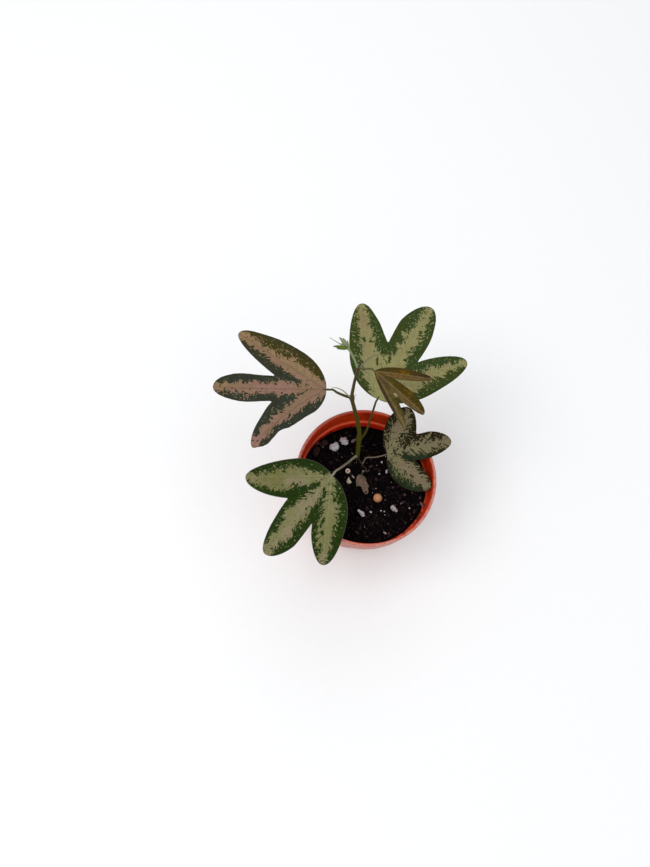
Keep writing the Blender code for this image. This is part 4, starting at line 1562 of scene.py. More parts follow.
@dataclass(frozen=True)
class Blade:
    """A lobed blade: how it is held, its lobes, how it bends and how it is dressed."""

    name: str
    node: str
    slot: str
    base_mm: tuple
    heading: float
    pitch: float
    roll: float
    droop_mm: float
    lobes: tuple
    upper: Finish
    lower: Finish
    fold: float = 0.0
    wave_mm: float = 0.35
    heart_mm: float = 4.0
    lead_mm: float = 2.6
    stalk_mm: tuple = ()
    stalk_radii_mm: tuple = (0.6, 0.5)
    stalk_tone: tuple = (0.3, 0.0)
    columns: int = 432
    rings: int = 50
    thickness_mm: float = 0.30
    solid_middle_mm: float = -0.325
    quilt_mm: float = 0.05
    side_vein_mm: float = 3.0
    hole_mm: tuple = ()
    outline_mm: tuple = ()
    ragged_mm: float = 0.0
    curl_mm: float = 0.0
    patches: tuple = ()
    seed: int = 1

    def matrix(self) -> Matrix:
        """Work out the blade's place: +X along its heading and +Z out of its face.

        Returns:
            The matrix that puts the blade there.
        """
        turn, nod, lean = (Matrix.Rotation(radians(angle), 4, axis)
                           for angle, axis in ((self.heading, "Z"), (self.pitch, "Y"), (self.roll, "X")))
        return Matrix.Translation(Vector(self.base_mm) * MM) @ turn @ nod @ lean

    def margin(self) -> np.ndarray:
        """Draw the whole blade's margin, from the stalk round its lobes.

        Returns:
            One place for each column of the blade's grid, in millimetres.
        """
        centre = np.array([self.heart_mm, 0.0])
        angles = np.linspace(-pi, pi, MARGIN_STEPS)
        aim = np.stack([np.cos(angles), np.sin(angles)], 1)
        aim_x, aim_y = aim[:, 0, None], aim[:, 1, None]
        total = np.zeros(len(angles))
        outlines = [np.array(self.outline_mm)] if self.outline_mm else [one.outline() for one in self.lobes]
        for outline in outlines:
            ends = (outline - centre, np.roll(outline - centre, -1, 0))
            turn_a, turn_b = (end[:, 0] * aim_y - end[:, 1] * aim_x for end in ends)
            hit_a, hit_b = (end[:, 0] * aim_x + end[:, 1] * aim_y for end in ends)
            crossing = (turn_a * turn_b <= 0.0) & (turn_a != turn_b)
            share = np.where(crossing, turn_a / np.where(crossing, turn_a - turn_b, 1.0), 0.0)
            hits = np.where(crossing, hit_a + (hit_b - hit_a) * share, 0.0)
            total += np.maximum(hits.max(1), 0.0) ** SINUS_BLEND
        radii = total ** (1.0 / SINUS_BLEND)
        if self.ragged_mm:
            turns = [Vector((cos(angle), sin(angle), 0.0)) for angle in angles]
            rough = [noise.noise(turn * 3.0) + 0.6 * noise.noise(turn * 9.0) for turn in turns]
            radii += self.ragged_mm * np.array(rough)
        ring = centre + aim * radii[:, None]
        run = np.concatenate([[0.0], np.cumsum(np.hypot(*np.diff(ring, axis=0).T))])
        wanted = np.linspace(0.0, run[-1], self.columns + 1)[:-1]
        return np.stack([np.interp(wanted, run, column) for column in ring.T], 1)

    def by_lobes(self, x: np.ndarray, y: np.ndarray) -> np.ndarray:
        """Return the places along and across each lobe, as two tables with one row for each lobe."""
        return np.array([lobe.local(x, y) for lobe in self.lobes]).transpose(1, 0, 2)

    def nearest(self, x: np.ndarray, y: np.ndarray) -> tuple[np.ndarray, ...]:
        """Find the nearest midrib.

        Args:
            x, y: Places on the blade, in millimetres.

        Returns:
            How far along it they lie, how far to its left, how far from it, and its number.
        """
        alongs, acrosses = self.by_lobes(x, y)
        offsets = from_midrib(alongs, acrosses)
        pick = np.argmin(offsets, 0)
        rows = np.arange(len(x))
        return alongs[pick, rows], acrosses[pick, rows], offsets[pick, rows], pick

    def height(self, x: np.ndarray, y: np.ndarray) -> np.ndarray:
        """Work out how high the upper face lies over the blade's plane.

        Args:
            x, y: Places on the blade, in millimetres.

        Returns:
            The heights in millimetres.
        """
        along, _, offset, _ = self.nearest(x, y)
        soft = np.sqrt(offset * offset + FOLD_ROUND_MM ** 2) - FOLD_ROUND_MM
        wave = self.wave_mm * np.sin(2 * pi * (x + WAVE_SLANT * y) / WAVE_LENGTH_MM)
        wave *= np.minimum(1.0, offset / WAVE_FULL_FROM_MIDRIB_MM)
        groove = -GROOVE_MM * np.exp(-(offset / GROOVE_WIDTH_MM) ** 2)
        ripple = np.cos(2 * pi * along_veins(along, offset) / self.side_vein_mm)
        quilt = self.quilt_mm * ripple * -np.clip(offset / 1.5, 0.0, 1.0)
        droop = self.droop_mm * (x * x + y * y) / DROOP_SPAN_MM ** 2
        curl = self.curl_mm * np.sin(x * 1.1) * (offset / 1.5) ** 2
        return wave + groove + quilt + self.fold * soft - droop + curl

    def thickness(self, x: np.ndarray, y: np.ndarray, edge: np.ndarray) -> np.ndarray:
        """Work out the thickness, thin at the margin and with raised ribs below.

        Args:
            x, y: Places on the blade, in millimetres.
            edge: Their distance from the margin.

        Returns:
            The thickness in millimetres.
        """
        along, _, offset, pick = self.nearest(x, y)
        share = np.clip(along / np.array([lobe.length for lobe in self.lobes])[pick], 0.0, 1.0)
        rib = RIB_MM * (1.0 - 0.85 * share) * np.exp(-(offset / (0.5 - 0.25 * share)) ** 2)
        line = along_veins(along, offset) / self.side_vein_mm
        away = np.abs((line + 0.5) % 1.0 - 0.5) * self.side_vein_mm
        side = SIDE_RIB_MM * np.exp(-(away / SIDE_RIB_WIDTH_MM) ** 2)
        body = self.thickness_mm * (EDGE_SHARE + (1.0 - EDGE_SHARE) * np.clip(edge / EDGE_REACH_MM, 0.0, 1.0))
        return body + (rib + side) * np.clip(edge, 0.0, 1.0)

    def flat(self) -> bpy.types.Mesh:
        """Make the blade's two faces, joined round their margin, before they are bent.

        Returns:
            A mesh whose leaf_mm holds the place on the blade and its face, and edge_mm the distance
            from the margin.
        """
        bm = bmesh.new()
        place_layer = bm.verts.layers.float_vector.new("leaf_mm")
        edge_layer = bm.verts.layers.float.new("edge_mm")
        margin = self.margin()
        centre = np.array([self.heart_mm, 0.0])
        spokes = margin - centre
        lengths = np.hypot(*spokes.T)
        run = np.roll(margin, -1, 0) - np.roll(margin, 1, 0)
        run /= np.hypot(*run.T)[:, None]
        lean = np.abs(spokes[:, 0] * run[:, 1] - spokes[:, 1] * run[:, 0]) / lengths
        shares = np.concatenate([np.linspace(0.0, LAST_RING, self.rings), [1.0]])

        def put(vert: bmesh.types.BMVert, column: int, row: int) -> None:
            """Place a point on its spoke and note how far the margin is.

            Args:
                vert: The point.
                column: The number of its spoke.
                row: Its step out along the spoke.
            """
            place = centre + spokes[column] * shares[row]
            vert.co = (place[0] * MM, place[1] * MM, 0.0)
            vert[edge_layer] = (1.0 - shares[row]) * lengths[column] * lean[column]

        wrapped_grid(bm, self.columns, self.rings, put)
        if self.hole_mm:
            self.bite(bm)
        for face in bm.faces:
            face.normal_update()
        bmesh.ops.reverse_faces(bm, faces=[face for face in bm.faces if face.normal.z < 0.0])
        for vert in bm.verts:
            vert[place_layer] = (vert.co.x / MM, vert.co.y / MM, Side.UPPER.value)
        copied = bmesh.ops.duplicate(bm, geom=bm.verts[:] + bm.edges[:] + bm.faces[:])["geom"]
        under = [item for item in copied if isinstance(item, bmesh.types.BMFace)]
        bmesh.ops.reverse_faces(bm, faces=under)
        for face in under:
            face.material_index = Side.LOWER.value
        for vert in (item for item in copied if isinstance(item, bmesh.types.BMVert)):
            vert[place_layer] = (vert.co.x / MM, vert.co.y / MM, Side.LOWER.value)
            vert.co.z = -self.thickness_mm * MM
        loose = [edge for edge in bm.edges if edge.is_boundary]
        if self.hole_mm:
            hole = Vector(self.hole_mm[:2]) * MM
            near = [e for e in loose if (e.verts[0].co.xy - hole).length < 1.6 * self.hole_mm[2] * MM]
            bmesh.ops.bridge_loops(bm, edges=near)
            loose = [edge for edge in loose if edge not in near]
        bmesh.ops.bridge_loops(bm, edges=loose)
        return to_mesh(bm)

    def bite(self, bm: bmesh.types.BMesh) -> None:
        """Cut the blade's hole out of its flat grid and round the cut.

        Args:
            bm: The flat grid.
        """
        x, y, radius = (value * MM for value in self.hole_mm)
        centre = Vector((x, y))
        inside = [face for face in bm.faces if (face.calc_center_median().xy - centre).length < radius]
        bmesh.ops.delete(bm, geom=inside, context="FACES")
        for vert in bm.verts:
            away = vert.co.xy - centre
            if vert.is_boundary and away.length < 1.5 * radius:
                vert.co.xy = centre + away.normalized() * radius * 1.05

    def build(self) -> None:
        """Bend, dress and place the blade."""
        mesh = self.flat()
        x, y, face = read_attribute(mesh, "leaf_mm")
        slope_x, slope_y = slopes(self.height, x, y, HEIGHT_STEP_MM)
        normal = np.stack([-slope_x, -slope_y, np.ones(len(x))], 1)
        normal /= np.linalg.norm(normal, axis=1)[:, None]
        depth = np.where(face > 0.5, self.thickness(x, y, read_attribute(mesh, "edge_mm")[0]), 0.0)
        local = np.stack([x, y, self.height(x, y)], 1) - normal * depth[:, None]
        matrix = np.array(self.matrix())
        world = local * MM @ matrix[:3, :3].T + matrix[:3, 3]
        write_attribute(mesh, "position", *world.T)
        self.mark(mesh, x, y)
        finished(self.name, mesh, [self.upper, self.lower], [self.node])

    def patched(self, kind: PatchKind, x: np.ndarray, y: np.ndarray) -> np.ndarray:
        """Return the sum of the blade's patches of one kind at each place."""
        return sum((patch.weight(x, y) for patch in self.patches if patch.kind is kind), np.zeros(len(x)))

    def band(self, x: np.ndarray, y: np.ndarray) -> np.ndarray:
        """Return how far inside the pale band each place lies, patches included, in millimetres."""
        return np.max([lobe.band_depth(x, y) for lobe in self.lobes], 0) + self.patched(PatchKind.BAND, x, y)

    def mark(self, mesh: bpy.types.Mesh, x: np.ndarray, y: np.ndarray) -> None:
        """Store what the blade's finish reads on the mesh.

        Args:
            mesh: The blade's mesh.
            x, y: The places of its points on the blade, in millimetres.
        """
        kinds = (PatchKind.WARM, PatchKind.BLOTCH, PatchKind.SPECKLE)
        along, across, _, pick = self.nearest(x, y)
        alongs, acrosses = self.by_lobes(x, y)
        write_attribute(mesh, "band", self.band(x, y), *slopes(self.band, x, y, BAND_STEP_MM))
        write_attribute(mesh, "tint", *(self.patched(kind, x, y) for kind in kinds))
        write_attribute(mesh, "vein", along_veins(along, np.abs(across)), across, pick)
        write_attribute(mesh, "along", *alongs)
        write_attribute(mesh, "across", *acrosses)
        shift_x, shift_y = (shift * self.seed for shift in SEED_SHIFT_MM)
        write_attribute(mesh, "leaf_mm", x + shift_x, y + shift_y, np.zeros(len(x)))

    def stalk(self) -> Rod:
        """Lay the blade's stalk, from the stem to just under the blade's heart.

        Returns:
            The stalk.
        """
        place, middle = self.matrix(), self.solid_middle_mm
        ends = [(-self.lead_mm, 0.0, middle - 0.4), (-0.9, 0.0, middle), (0.3, 0.0, -0.28), (1.4, 0.0, -0.30)]
        lead = tuple(tuple((place @ (Vector(end) * MM)) / MM) for end in ends)
        first, last = self.stalk_radii_mm
        radii = (first * 1.15, first, first * 0.95, (first + last) / 2, last, last * 1.1, last * 0.9, 0.18)
        return Rod(self.stalk_mm + lead, radii, *self.stalk_tone)


BAND, WARM, BLOTCH, SPECKLE = PatchKind.BAND, PatchKind.WARM, PatchKind.BLOTCH, PatchKind.SPECKLE
BLADES = (
    Blade(
        name="blade_left", node="leaf_left", slot="leaf_pink",
        base_mm=(-18.1, 22.7, 79.0), heading=180, pitch=4, roll=-4, droop_mm=3.0,
        lobes=(
            Lobe(28, 32.4, 5.1, 8.5, 6.0, 0.25, 0.25,
                 (1.8, 1.9, 1.5, 1.5, 0.8, 1.4, 1.5), (2.5, 3.3, 2.0, 2.6, 2.4, 1.8, 1.5), 0.8),
            Lobe(0, 40.5, 5.0, 5.5, -1.9, 0.74, 0.80,
                 (2.0, 1.7, 2.3, 1.8, 2.1, 1.2, 1.5), (2.0, 2.2, 2.5, 2.0, 2.6, 1.4, 1.5)),
            Lobe(-33, 39.2, 6.3, 7.4, -1.7, 0.25, 0.38,
                 (2.4, 2.5, 2.0, 2.4, 0.8, 1.2, 1.4), (2.3, 2.6, 3.0, 1.7, 1.1, 1.3, 1.4)),
        ),
        upper=BladeFinish("blade_left_upper", paint(125, 99, 78), paint(131, 108, 77), paint(140, 102, 95),
                          paint(42, 46, 34), paint(57, 50, 13), paint(136, 138, 104), paint(84, 64, 42),
                          paint(52, 46, 34), cloud_share=0.08, fan_share=0.12),
        lower=UndersideFinish("blade_left_lower"),
        patches=(
            *spots(WARM, (3, -6.5, 30, -23, 4.5, 1), (32, -20.5, 33, -22, 2, 0.8),
                   (24, 20, 25.5, 21, 1.5, 0.9), (37, -1.8, 40, -1.9, 2.4, 0.9)),
            *spots(BLOTCH, (13.5, 0, 24, -0.4, 2.6, 0.7), (17, 8.6, 19, 9.8, 2.2, 0.3),
                   (23, 17, 24.5, 19, 1.8, 0.5), (23.5, 17.5, 26, 20.5, 2.6, 0.6)),
            *spots(SPECKLE, (27, 2.5, 36, 1.2, 2.2, 0.8), (6, -10, 14, -15, 2.5, 0.5),
                   (14, -15.5, 26, -21.5, 1.8, 0.9)),
            *spots(BAND, (9.8, -3, 12.5, -4.6, 0.7, -3), (24.7, -3, 24.9, -4, 0.8, 1.4)),
        ),
        stalk_mm=((-8.4, 21.4, 75.0), (-11.0, 21.4, 76.6), (-14.0, 21.9, 78.2)),
        stalk_radii_mm=(0.5, 0.36), stalk_tone=(0.9, 0.0), seed=1,
    ),
    Blade(
        name="blade_back_right", node="leaf_back_right", slot="leaf_silver",
        base_mm=(1.3, 22.3, 73.0), heading=60, pitch=-10, roll=0, droop_mm=4.0,
        lobes=(
            Lobe(42, 38.5, 7.2, 8.3, -2.3, 0.40, 0.37,
                 (1.6, 3.3, 3.2, 2.2, 1.8, 2.1, 1.0), (3.0, 4.5, 4.2, 2.8, 2.8, 1.8, 1.0)),
            Lobe(2, 42.4, 7.2, 6.6, -1.3, 0.73, 0.65,
                 (3.5, 4.0, 3.0, 2.0, 1.5, 1.5, 1.5), (2.2, 2.4, 2.1, 2.3, 3.0, 1.6, 1.5)),
            Lobe(-33, 36.8, 6.1, 7.0, -1.6, 0.57, 0.44,
                 (2.4, 3.0, 3.0, 2.6, 1.3, 0.8, 1.2), (2.5, 3.6, 3.4, 1.9, 1.8, 0.8, 1.2)),
        ),
        upper=BladeFinish("blade_back_upper", paint(130, 125, 82), paint(134, 131, 84), paint(124, 108, 76),
                          paint(46, 61, 24), paint(56, 61, 14), paint(156, 168, 122), paint(136, 134, 88),
                          paint(50, 62, 28), rib_share=0.35, dot_share=0.17, teeth_mm=1.7),
        lower=UndersideFinish("blade_back_lower"),
        patches=(
            *spots(WARM, (2, 1, 13, 4, 5.5, 1), (9, 16, 27, 26, 2.5, 0.7)),
            *spots(BLOTCH, (14, 12, 27, 23, 2.2, 0.6), (24, 18, 26, 20, 2.5, 0.5),
                   (38.5, 1, 41, 1.2, 2, 0.5)),
            *spots(SPECKLE, (26.5, 21.5, 29.5, 24, 2.6, 0.9), (37, 0.6, 41, 0.4, 2.4, 0.9),
                   (8, 15, 20, 22, 2, 0.5)),
            *spots(BAND, (17.4, 15.3, 17.9, 15.8, 0.6, -6.4), (18, 13.2, 18.6, 13.3, 0.5, -5),
                   (11.2, 6.6, 13.4, 7.7, 0.45, -6.4), (14.5, 3.2, 15.6, 3.8, 0.45, -6.4),
                   (14, 5, 15.4, 5.6, 1.2, 2.2), (21.6, 3.2, 21.9, 3.8, 0.9, 2.2),
                   (27, 3.2, 27.4, 4.6, 0.8, 2.8), (30.6, -0.9, 31, -1.1, 0.7, -3.6),
                   (20.5, -11.6, 20.9, -12.1, 1.2, 1.2)),
        ),
        stalk_mm=((-2.1, 15.0, 49.2), (-0.6, 16.2, 53.5), (0.2, 18.8, 61.5), (0.55, 20.6, 69.0)),
        stalk_radii_mm=(0.44, 0.36), stalk_tone=(0.75, 0.0), lead_mm=1.3, seed=2,
    ),
    Blade(
        name="blade_front_left", node="leaf_front_left", slot="leaf_khaki",
        base_mm=(-13.8, -1.6, 53.2), heading=234, pitch=3, roll=0, droop_mm=4.0,
        lobes=(
            Lobe(29, 33.2, 7.5, 5.4, 0.8, 0.45, 0.65,
                 (1.2, 2.5, 3.6, 3.0, 2.7, 1.5, 0.2), (1.6, 1.7, 1.9, 3.2, 2.8, 2.2, 0.4)),
            Lobe(-5, 38.1, 6.6, 6.8, 0.3, 0.74, 0.44,
                 (1.8, 2.3, 2.0, 2.8, 3.2, 2.1, 1.8), (1.8, 2.0, 2.8, 4.4, 2.2, 1.9, 1.8)),
            Lobe(-52, 32.8, 8.1, 7.1, -0.8, 0.52, 0.39,
                 (1.8, 3.0, 3.2, 4.7, 4.2, 3.0, 1.5), (1.0, 2.0, 4.1, 3.0, 2.1, 1.5, 1.2)),
        ),
        upper=BladeFinish("blade_front_upper", paint(113, 111, 71), paint(104, 102, 56), paint(127, 115, 90),
                          paint(26, 44, 0), paint(31, 48, 0), paint(138, 154, 110), paint(142, 142, 104),
                          paint(84, 80, 76), rib_share=0.3, cloud_share=0.3, teeth_mm=1.5),
        lower=UndersideFinish("blade_front_lower"),
        patches=(
            *spots(WARM, (12, -14.5, 18, -21, 4, 0.9)),
            *spots(BLOTCH, (8.8, -7.4, 11.2, -12.2, 1.7, 1.5), (11.5, -1.3, 16.5, -2.8, 2.2, 0.7),
                   (26.5, 0, 31, -0.4, 2, 0.8), (17, -22, 19, -24, 2.2, 0.6),
                   (7, -0.6, 26, -1.6, 3.2, 0.55), (26.5, 15.4, 28, 15.9, 1.8, 0.9),
                   (34, -2, 36.5, -1.2, 2.4, 0.8)),
            *spots(SPECKLE, (26, 13, 29, 15, 2.2, 0.9), (29, 1.5, 36, -4, 2, 0.5),
                   (5, 5, 12, 11, 1.4, 0.6), (8, -17, 11, -22, 1.8, 0.6)),
            *spots(BAND, (5.2, -2.2, 8.4, -3.4, 0.6, -3.8), (10, -5, 12.8, -7.9, 0.8, -3.2),
                   (11.2, -5.6, 12.8, -7.4, 0.4, 2.8), (5.6, 0.4, 8.2, 2.2, 0.5, -3.2),
                   (14.6, 7.1, 17.8, 7.9, 0.5, -4.2), (19.2, 9.7, 19.8, 10.2, 0.6, -4.4),
                   (23.4, 11.9, 23.8, 12.1, 0.6, -4), (19, 1.2, 19.6, 1.8, 1, 1.4)),
        ),
        stalk_mm=((-2.3, 11.0, 40.2), (-4.2, 9.4, 41.0), (-6.4, 7.0, 43.0), (-10.0, 2.8, 49.5)),
        stalk_radii_mm=(0.5, 0.42), stalk_tone=(1.25, 0.55), seed=3,
    ),
    Blade(
        name="blade_right_low", node="leaf_right_low", slot="leaf_dark",
        base_mm=(8.8, 9.4, 47.5), heading=13, pitch=-12, roll=8, droop_mm=1.5,
        lobes=(
            Lobe(47, 20.6, 6.2, 7.8, 1.2, 0.57, 0.25,
                 (1.4, 2.2, 3.2, 3.0, 2.7, 2.0, 0.2), (1.8, 2.4, 1.8, 2.7, 1.8, 2.2, 0.4)),
            Lobe(1, 25.4, 5.1, 5.3, -1.4, 0.70, 0.56,
                 (0.8, 1.0, 1.6, 2.1, 2.2, 1.7, 2.2), (0.8, 1.2, 1.7, 2.5, 2.4, 2.2, 2.0)),
            Lobe(-57, 21.2, 5.6, 6.4, 1.4, 0.25, 0.56,
                 (1.6, 3.1, 3.6, 3.1, 2.6, 2.3, 1.6), (1.0, 1.8, 3.1, 2.3, 2.0, 1.6, 1.6)),
        ),
        upper=BladeFinish("blade_right_upper", paint(112, 105, 76), paint(100, 94, 58), paint(116, 98, 80),
                          paint(28, 22, 0), paint(26, 40, 20), paint(124, 128, 92), paint(128, 126, 92),
                          paint(38, 36, 24), dark_share=0.05, light_share=0.03, teeth_mm=2.2, jitter_mm=0.7,
                          rib_share=0.2, dot_share=0.18, cloud_share=0.0),
        lower=UndersideFinish("blade_right_lower"),
        patches=(
            *spots(WARM, (0.5, -7, 7, -16, 2.4, 1), (6, -2.8, 14, -4.8, 1.6, 1)),
            *spots(BLOTCH, (5, -5.4, 10, -14, 2.6, 0.8), (4.7, 8, 8, 10.5, 2.6, 0.8),
                   (22.5, 0.2, 25, 0, 2.2, 0.7)),
            *spots(SPECKLE, (2, 5, 2, 14, 3, 0.6), (0.5, -3, 2.5, -10, 2, 1), (9, 4, 20, 4, 1.8, 0.6),
                   (12, -3, 21, -3.4, 1.5, 0.6), (9.5, 6, 13, 9, 2.2, 0.5)),
            *spots(BAND, (6, -2.6, 11, -5.4, 0.9, -3.4), (7.2, 5.6, 7.6, 6, 0.6, -4.4),
                   (12.2, 0.7, 12.6, 0.9, 0.5, -4.8), (8.8, 2.8, 9.2, 3.2, 0.6, -4.2),
                   (6.8, -10.4, 7.2, -10.9, 0.6, -4), (17, 2.9, 17.8, 3.3, 0.9, 1.8)),
        ),
        heart_mm=3.0, wave_mm=0.25, columns=360, rings=48,
        stalk_mm=((-0.3, 7.6, 39.0), (0.3, 8.4, 40.4), (1.0, 9.2, 42.8), (3.8, 8.75, 44.9)),
        stalk_radii_mm=(0.32, 0.24), stalk_tone=(1.25, 0.3), seed=4,
    ),
    Blade(
        name="blade_young", node="leaf_young", slot="leaf_young",
        base_mm=(-2.8, 23.6, 93.5), heading=-34, pitch=18, roll=0, droop_mm=2.0,
        lobes=(
            Lobe(34, 21.8, 1.9, 2.2, 0.0, 0.42, 0.44),
            Lobe(0, 22.8, 2.5, 2.7, 0.0, 0.66, 0.55),
            Lobe(-23, 22.0, 2.0, 2.0, 0.0, 0.40, 0.40),
        ),
        upper=YoungFinish("blade_young_upper", paint(64, 53, 0), paint(108, 74, 0), paint(100, 77, 40),
                          paint(98, 86, 50), paint(50, 34, 20), paint(128, 110, 76)),
        lower=UndersideFinish("blade_young_lower", paint(100, 72, 54), paint(88, 74, 44),
                              paint(128, 110, 80)),
        patches=(
            *spots(WARM, (7, 5.2, 9.5, 7, 1.3, 1), (12, 2.2, 15, 2.2, 0.9, 0.6)),
            *spots(BLOTCH, (5, -3, 20, -8.4, 1.1, 1), (10, -2.1, 10.8, -2.2, 0.42, 2.8),
                   (4, -0.6, 10, -1.6, 1.4, 0.7)),
            *spots(SPECKLE, (3, -0.9, 7.5, -1.5, 0.7, 0.5), (2.5, -2.4, 14.3, -7.3, 0.9, 0.9),
                   (16, 11.6, 17.6, 12.8, 1.2, 0.8), (12, 8.6, 16, 11.6, 0.8, 0.6),
                   (20, -1.6, 22.5, -0.4, 0.7, 0.5)),
        ),
        fold=0.6, heart_mm=2.5, wave_mm=0.1, lead_mm=1.4, columns=300, rings=36, quilt_mm=0.03,
        side_vein_mm=1.6, thickness_mm=0.26,
        stalk_mm=((-8.3, 24.2, 93.0), (-7.0, 24.1, 93.7)),
        stalk_radii_mm=(0.36, 0.3), stalk_tone=(0.7, 0.1), seed=5,
    ),
)
DEAD_BLADE = Blade(
    name="dry_leaf_scrap", node="dead_leaf", slot="dead_leaf",
    base_mm=(-0.6, 3.2, 39.5), heading=-88, pitch=0, roll=0, droop_mm=0.0,
    lobes=(
        Lobe(29, 5.9, 1.2, 1.2, 0.2, 0.45, 0.60),
        Lobe(8, 8.5, 1.2, 1.4, 0.2, 0.75, 0.75),
        Lobe(-27, 5.4, 1.2, 1.6, -0.2, 0.45, 0.40),
    ),
    upper=DeadLeafFinish("dry_leaf_upper"), lower=DeadLeafFinish("dry_leaf_lower"),
    outline_mm=(
        (0.1, -1.3), (0.1, -0.1), (0.7, 0.8), (1.6, 1.5), (3.6, 2.0), (5.0, 2.7), (5.8, 2.2), (7.2, 2.3),
        (8.0, 1.9), (8.2, 1.2), (7.4, 0.2), (5.2, -0.3), (4.6, -1.3), (5.0, -2.4), (3.0, -2.5), (0.9, -2.0),
    ),
    heart_mm=3.0, wave_mm=0.25, columns=180, rings=24, quilt_mm=0.0, hole_mm=(7.3, 1.3, 0.36), ragged_mm=0.18,
    curl_mm=0.3, seed=6,
)


@dataclass(frozen=True)
class Vine:
    """The stem with its stalks, tendrils, old stub and stipules."""

    stem: Rod = Rod(
        ((-2.2, 10.6, 30.0), (-2.2, 10.6, 38.0), (-2.5, 14.5, 47.0), (-3.1, 16.7, 53.5), (-4.8, 18.8, 60.5),
         (-6.7, 20.1, 68.0), (-8.4, 21.4, 75.0), (-8.7, 22.5, 82.0), (-8.7, 23.4, 89.0), (-8.3, 24.2, 93.0),
         (-8.6, 24.6, 93.8)),
        (0.9, 0.95, 0.92, 0.86, 0.82, 0.77, 0.68, 0.56, 0.48, 0.42, 0.2),
        brown=0.2, brown_end=1.15, ridges=5, sides=20, per_span=9,
        swellings_mm=(((-2.0, 15.0, 49.2), 0.32, 1.6), ((-8.4, 21.4, 75.0), 0.34, 1.3),
                      ((-8.3, 24.2, 93.0), 0.3, 1.1)),
    )
    stub: Rod = Rod(((-2.2, 10.6, 38.9), (-1.0, 8.6, 39.2), (0.3, 6.6, 39.1), (0.7, 6.0, 38.9)),
                    (0.5, 0.42, 0.36, 0.2), brown=2.0)
    scrap_stalk: Rod = Rod(
        ((0.9, 6.2, 39.0), (1.3, 5.2, 39.6), (0.6, 4.4, 39.7), (-0.2, 3.9, 39.6), (-0.7, 2.8, 39.35)),
        (0.16, 0.2, 0.2, 0.24, 0.16), brown=1.4, pale=0.1, sides=7,
    )
    upper_tendril: Rod = Rod(
        ((-8.3, 24.2, 93.0), (-6.9, 25.0, 95.2), (-6.1, 25.8, 96.6), (-4.8, 26.5, 97.6), (-3.3, 27.2, 98.0),
         (-0.9, 27.3, 98.0), (1.6, 27.5, 97.6), (3.8, 28.1, 97.0)),
        (0.3, 0.26, 0.24, 0.2, 0.16, 0.09), brown=1.0, brown_end=0.0, pale=0.3, sides=8,
    )
    left_tendril: Rod = Rod(
        ((-8.4, 21.4, 75.0), (-9.9, 21.4, 77.0), (-12.4, 22.2, 79.8), (-15.1, 22.2, 81.8),
         (-16.9, 21.8, 81.4)),
        (0.28, 0.26, 0.22, 0.16, 0.08), pale=0.95, sides=8,
    )
    stipules: tuple = (
        ((-4.0, 10.9, 40.6), (-5.0, 11.6, 42.2), 0.28), ((-2.7, 8.6, 40.0), (-2.9, 7.4, 40.9), 0.25),
        ((-1.4, 15.8, 50.0), (-0.9, 16.5, 51.4), 0.32), ((-8.9, 20.8, 75.6), (-9.7, 20.0, 76.6), 0.24),
        ((-7.9, 21.6, 75.6), (-7.0, 21.9, 76.8), 0.24), ((-7.9, 23.8, 93.5), (-7.2, 23.2, 94.5), 0.2),
    )

    def build(self) -> None:
        """Build and dress the stem piece."""
        parts = [self.stem, self.stub, self.scrap_stalk, self.upper_tendril, self.left_tendril]
        parts += [blade.stalk() for blade in BLADES]
        parts += [Spindle(*stipule, brown=0.2, pale=0.45) for stipule in self.stipules]
        grown("vine_stem_skin", parts, StemFinish(), "vine_stem")


@dataclass(frozen=True)
class GrowingTip:
    """The pale downy shoot with its folded bud leaflets, its needle and its hairs."""

    shoot: Rod = Rod(
        ((-8.4, 24.4, 93.0), (-8.95, 25.0, 94.2), (-10.3, 26.4, 97.0), (-11.8, 27.6, 99.5),
         (-12.8, 28.2, 101.0)),
        (0.36, 0.37, 0.34, 0.38, 0.42), brown=0.3, brown_end=0.15, sides=14,
    )
    leaflets: tuple = (
        ((-12.4, 28.0, 100.7), (-17.6, 28.0, 101.8), 1.0, 0.95),
        ((-12.8, 28.3, 100.9), (-15.6, 30.6, 103.2), 1.15, 0.15),
        ((-12.8, 28.3, 100.9), (-14.4, 30.2, 103.4), 1.1, 0.35),
        ((-12.5, 27.9, 100.6), (-16.4, 27.3, 101.6), 0.95, 0.95),
        ((-12.6, 28.2, 100.8), (-15.4, 28.9, 102.1), 0.7, 0.6),
        ((-12.4, 28.2, 100.6), (-12.9, 30.0, 102.6), 0.5, 0.5),
    )
    needle: Rod = Rod(
        ((-12.6, 28.1, 100.8), (-13.4, 28.2, 101.2), (-15.4, 28.6, 102.4), (-18.9, 29.9, 104.0)),
        (0.3, 0.24, 0.18, 0.07), sides=8,
    )
    down_radius_mm: float = 0.42
    down_share: float = 0.6

    def build(self) -> None:
        """Build and dress the growing tip."""
        leaflets = [Spindle(*row) for row in self.leaflets]
        routes = [self.shoot.route_mm] + [(leaflet.start_mm, leaflet.end_mm) for leaflet in leaflets]
        radii = [self.down_radius_mm] + [leaflet.half_width_mm * self.down_share for leaflet in leaflets]
        parts = [self.shoot, *leaflets, self.needle, Down(tuple(routes), tuple(radii))]
        grown("shoot_tip_down", parts, ShootFinish(), "shoot_tip")


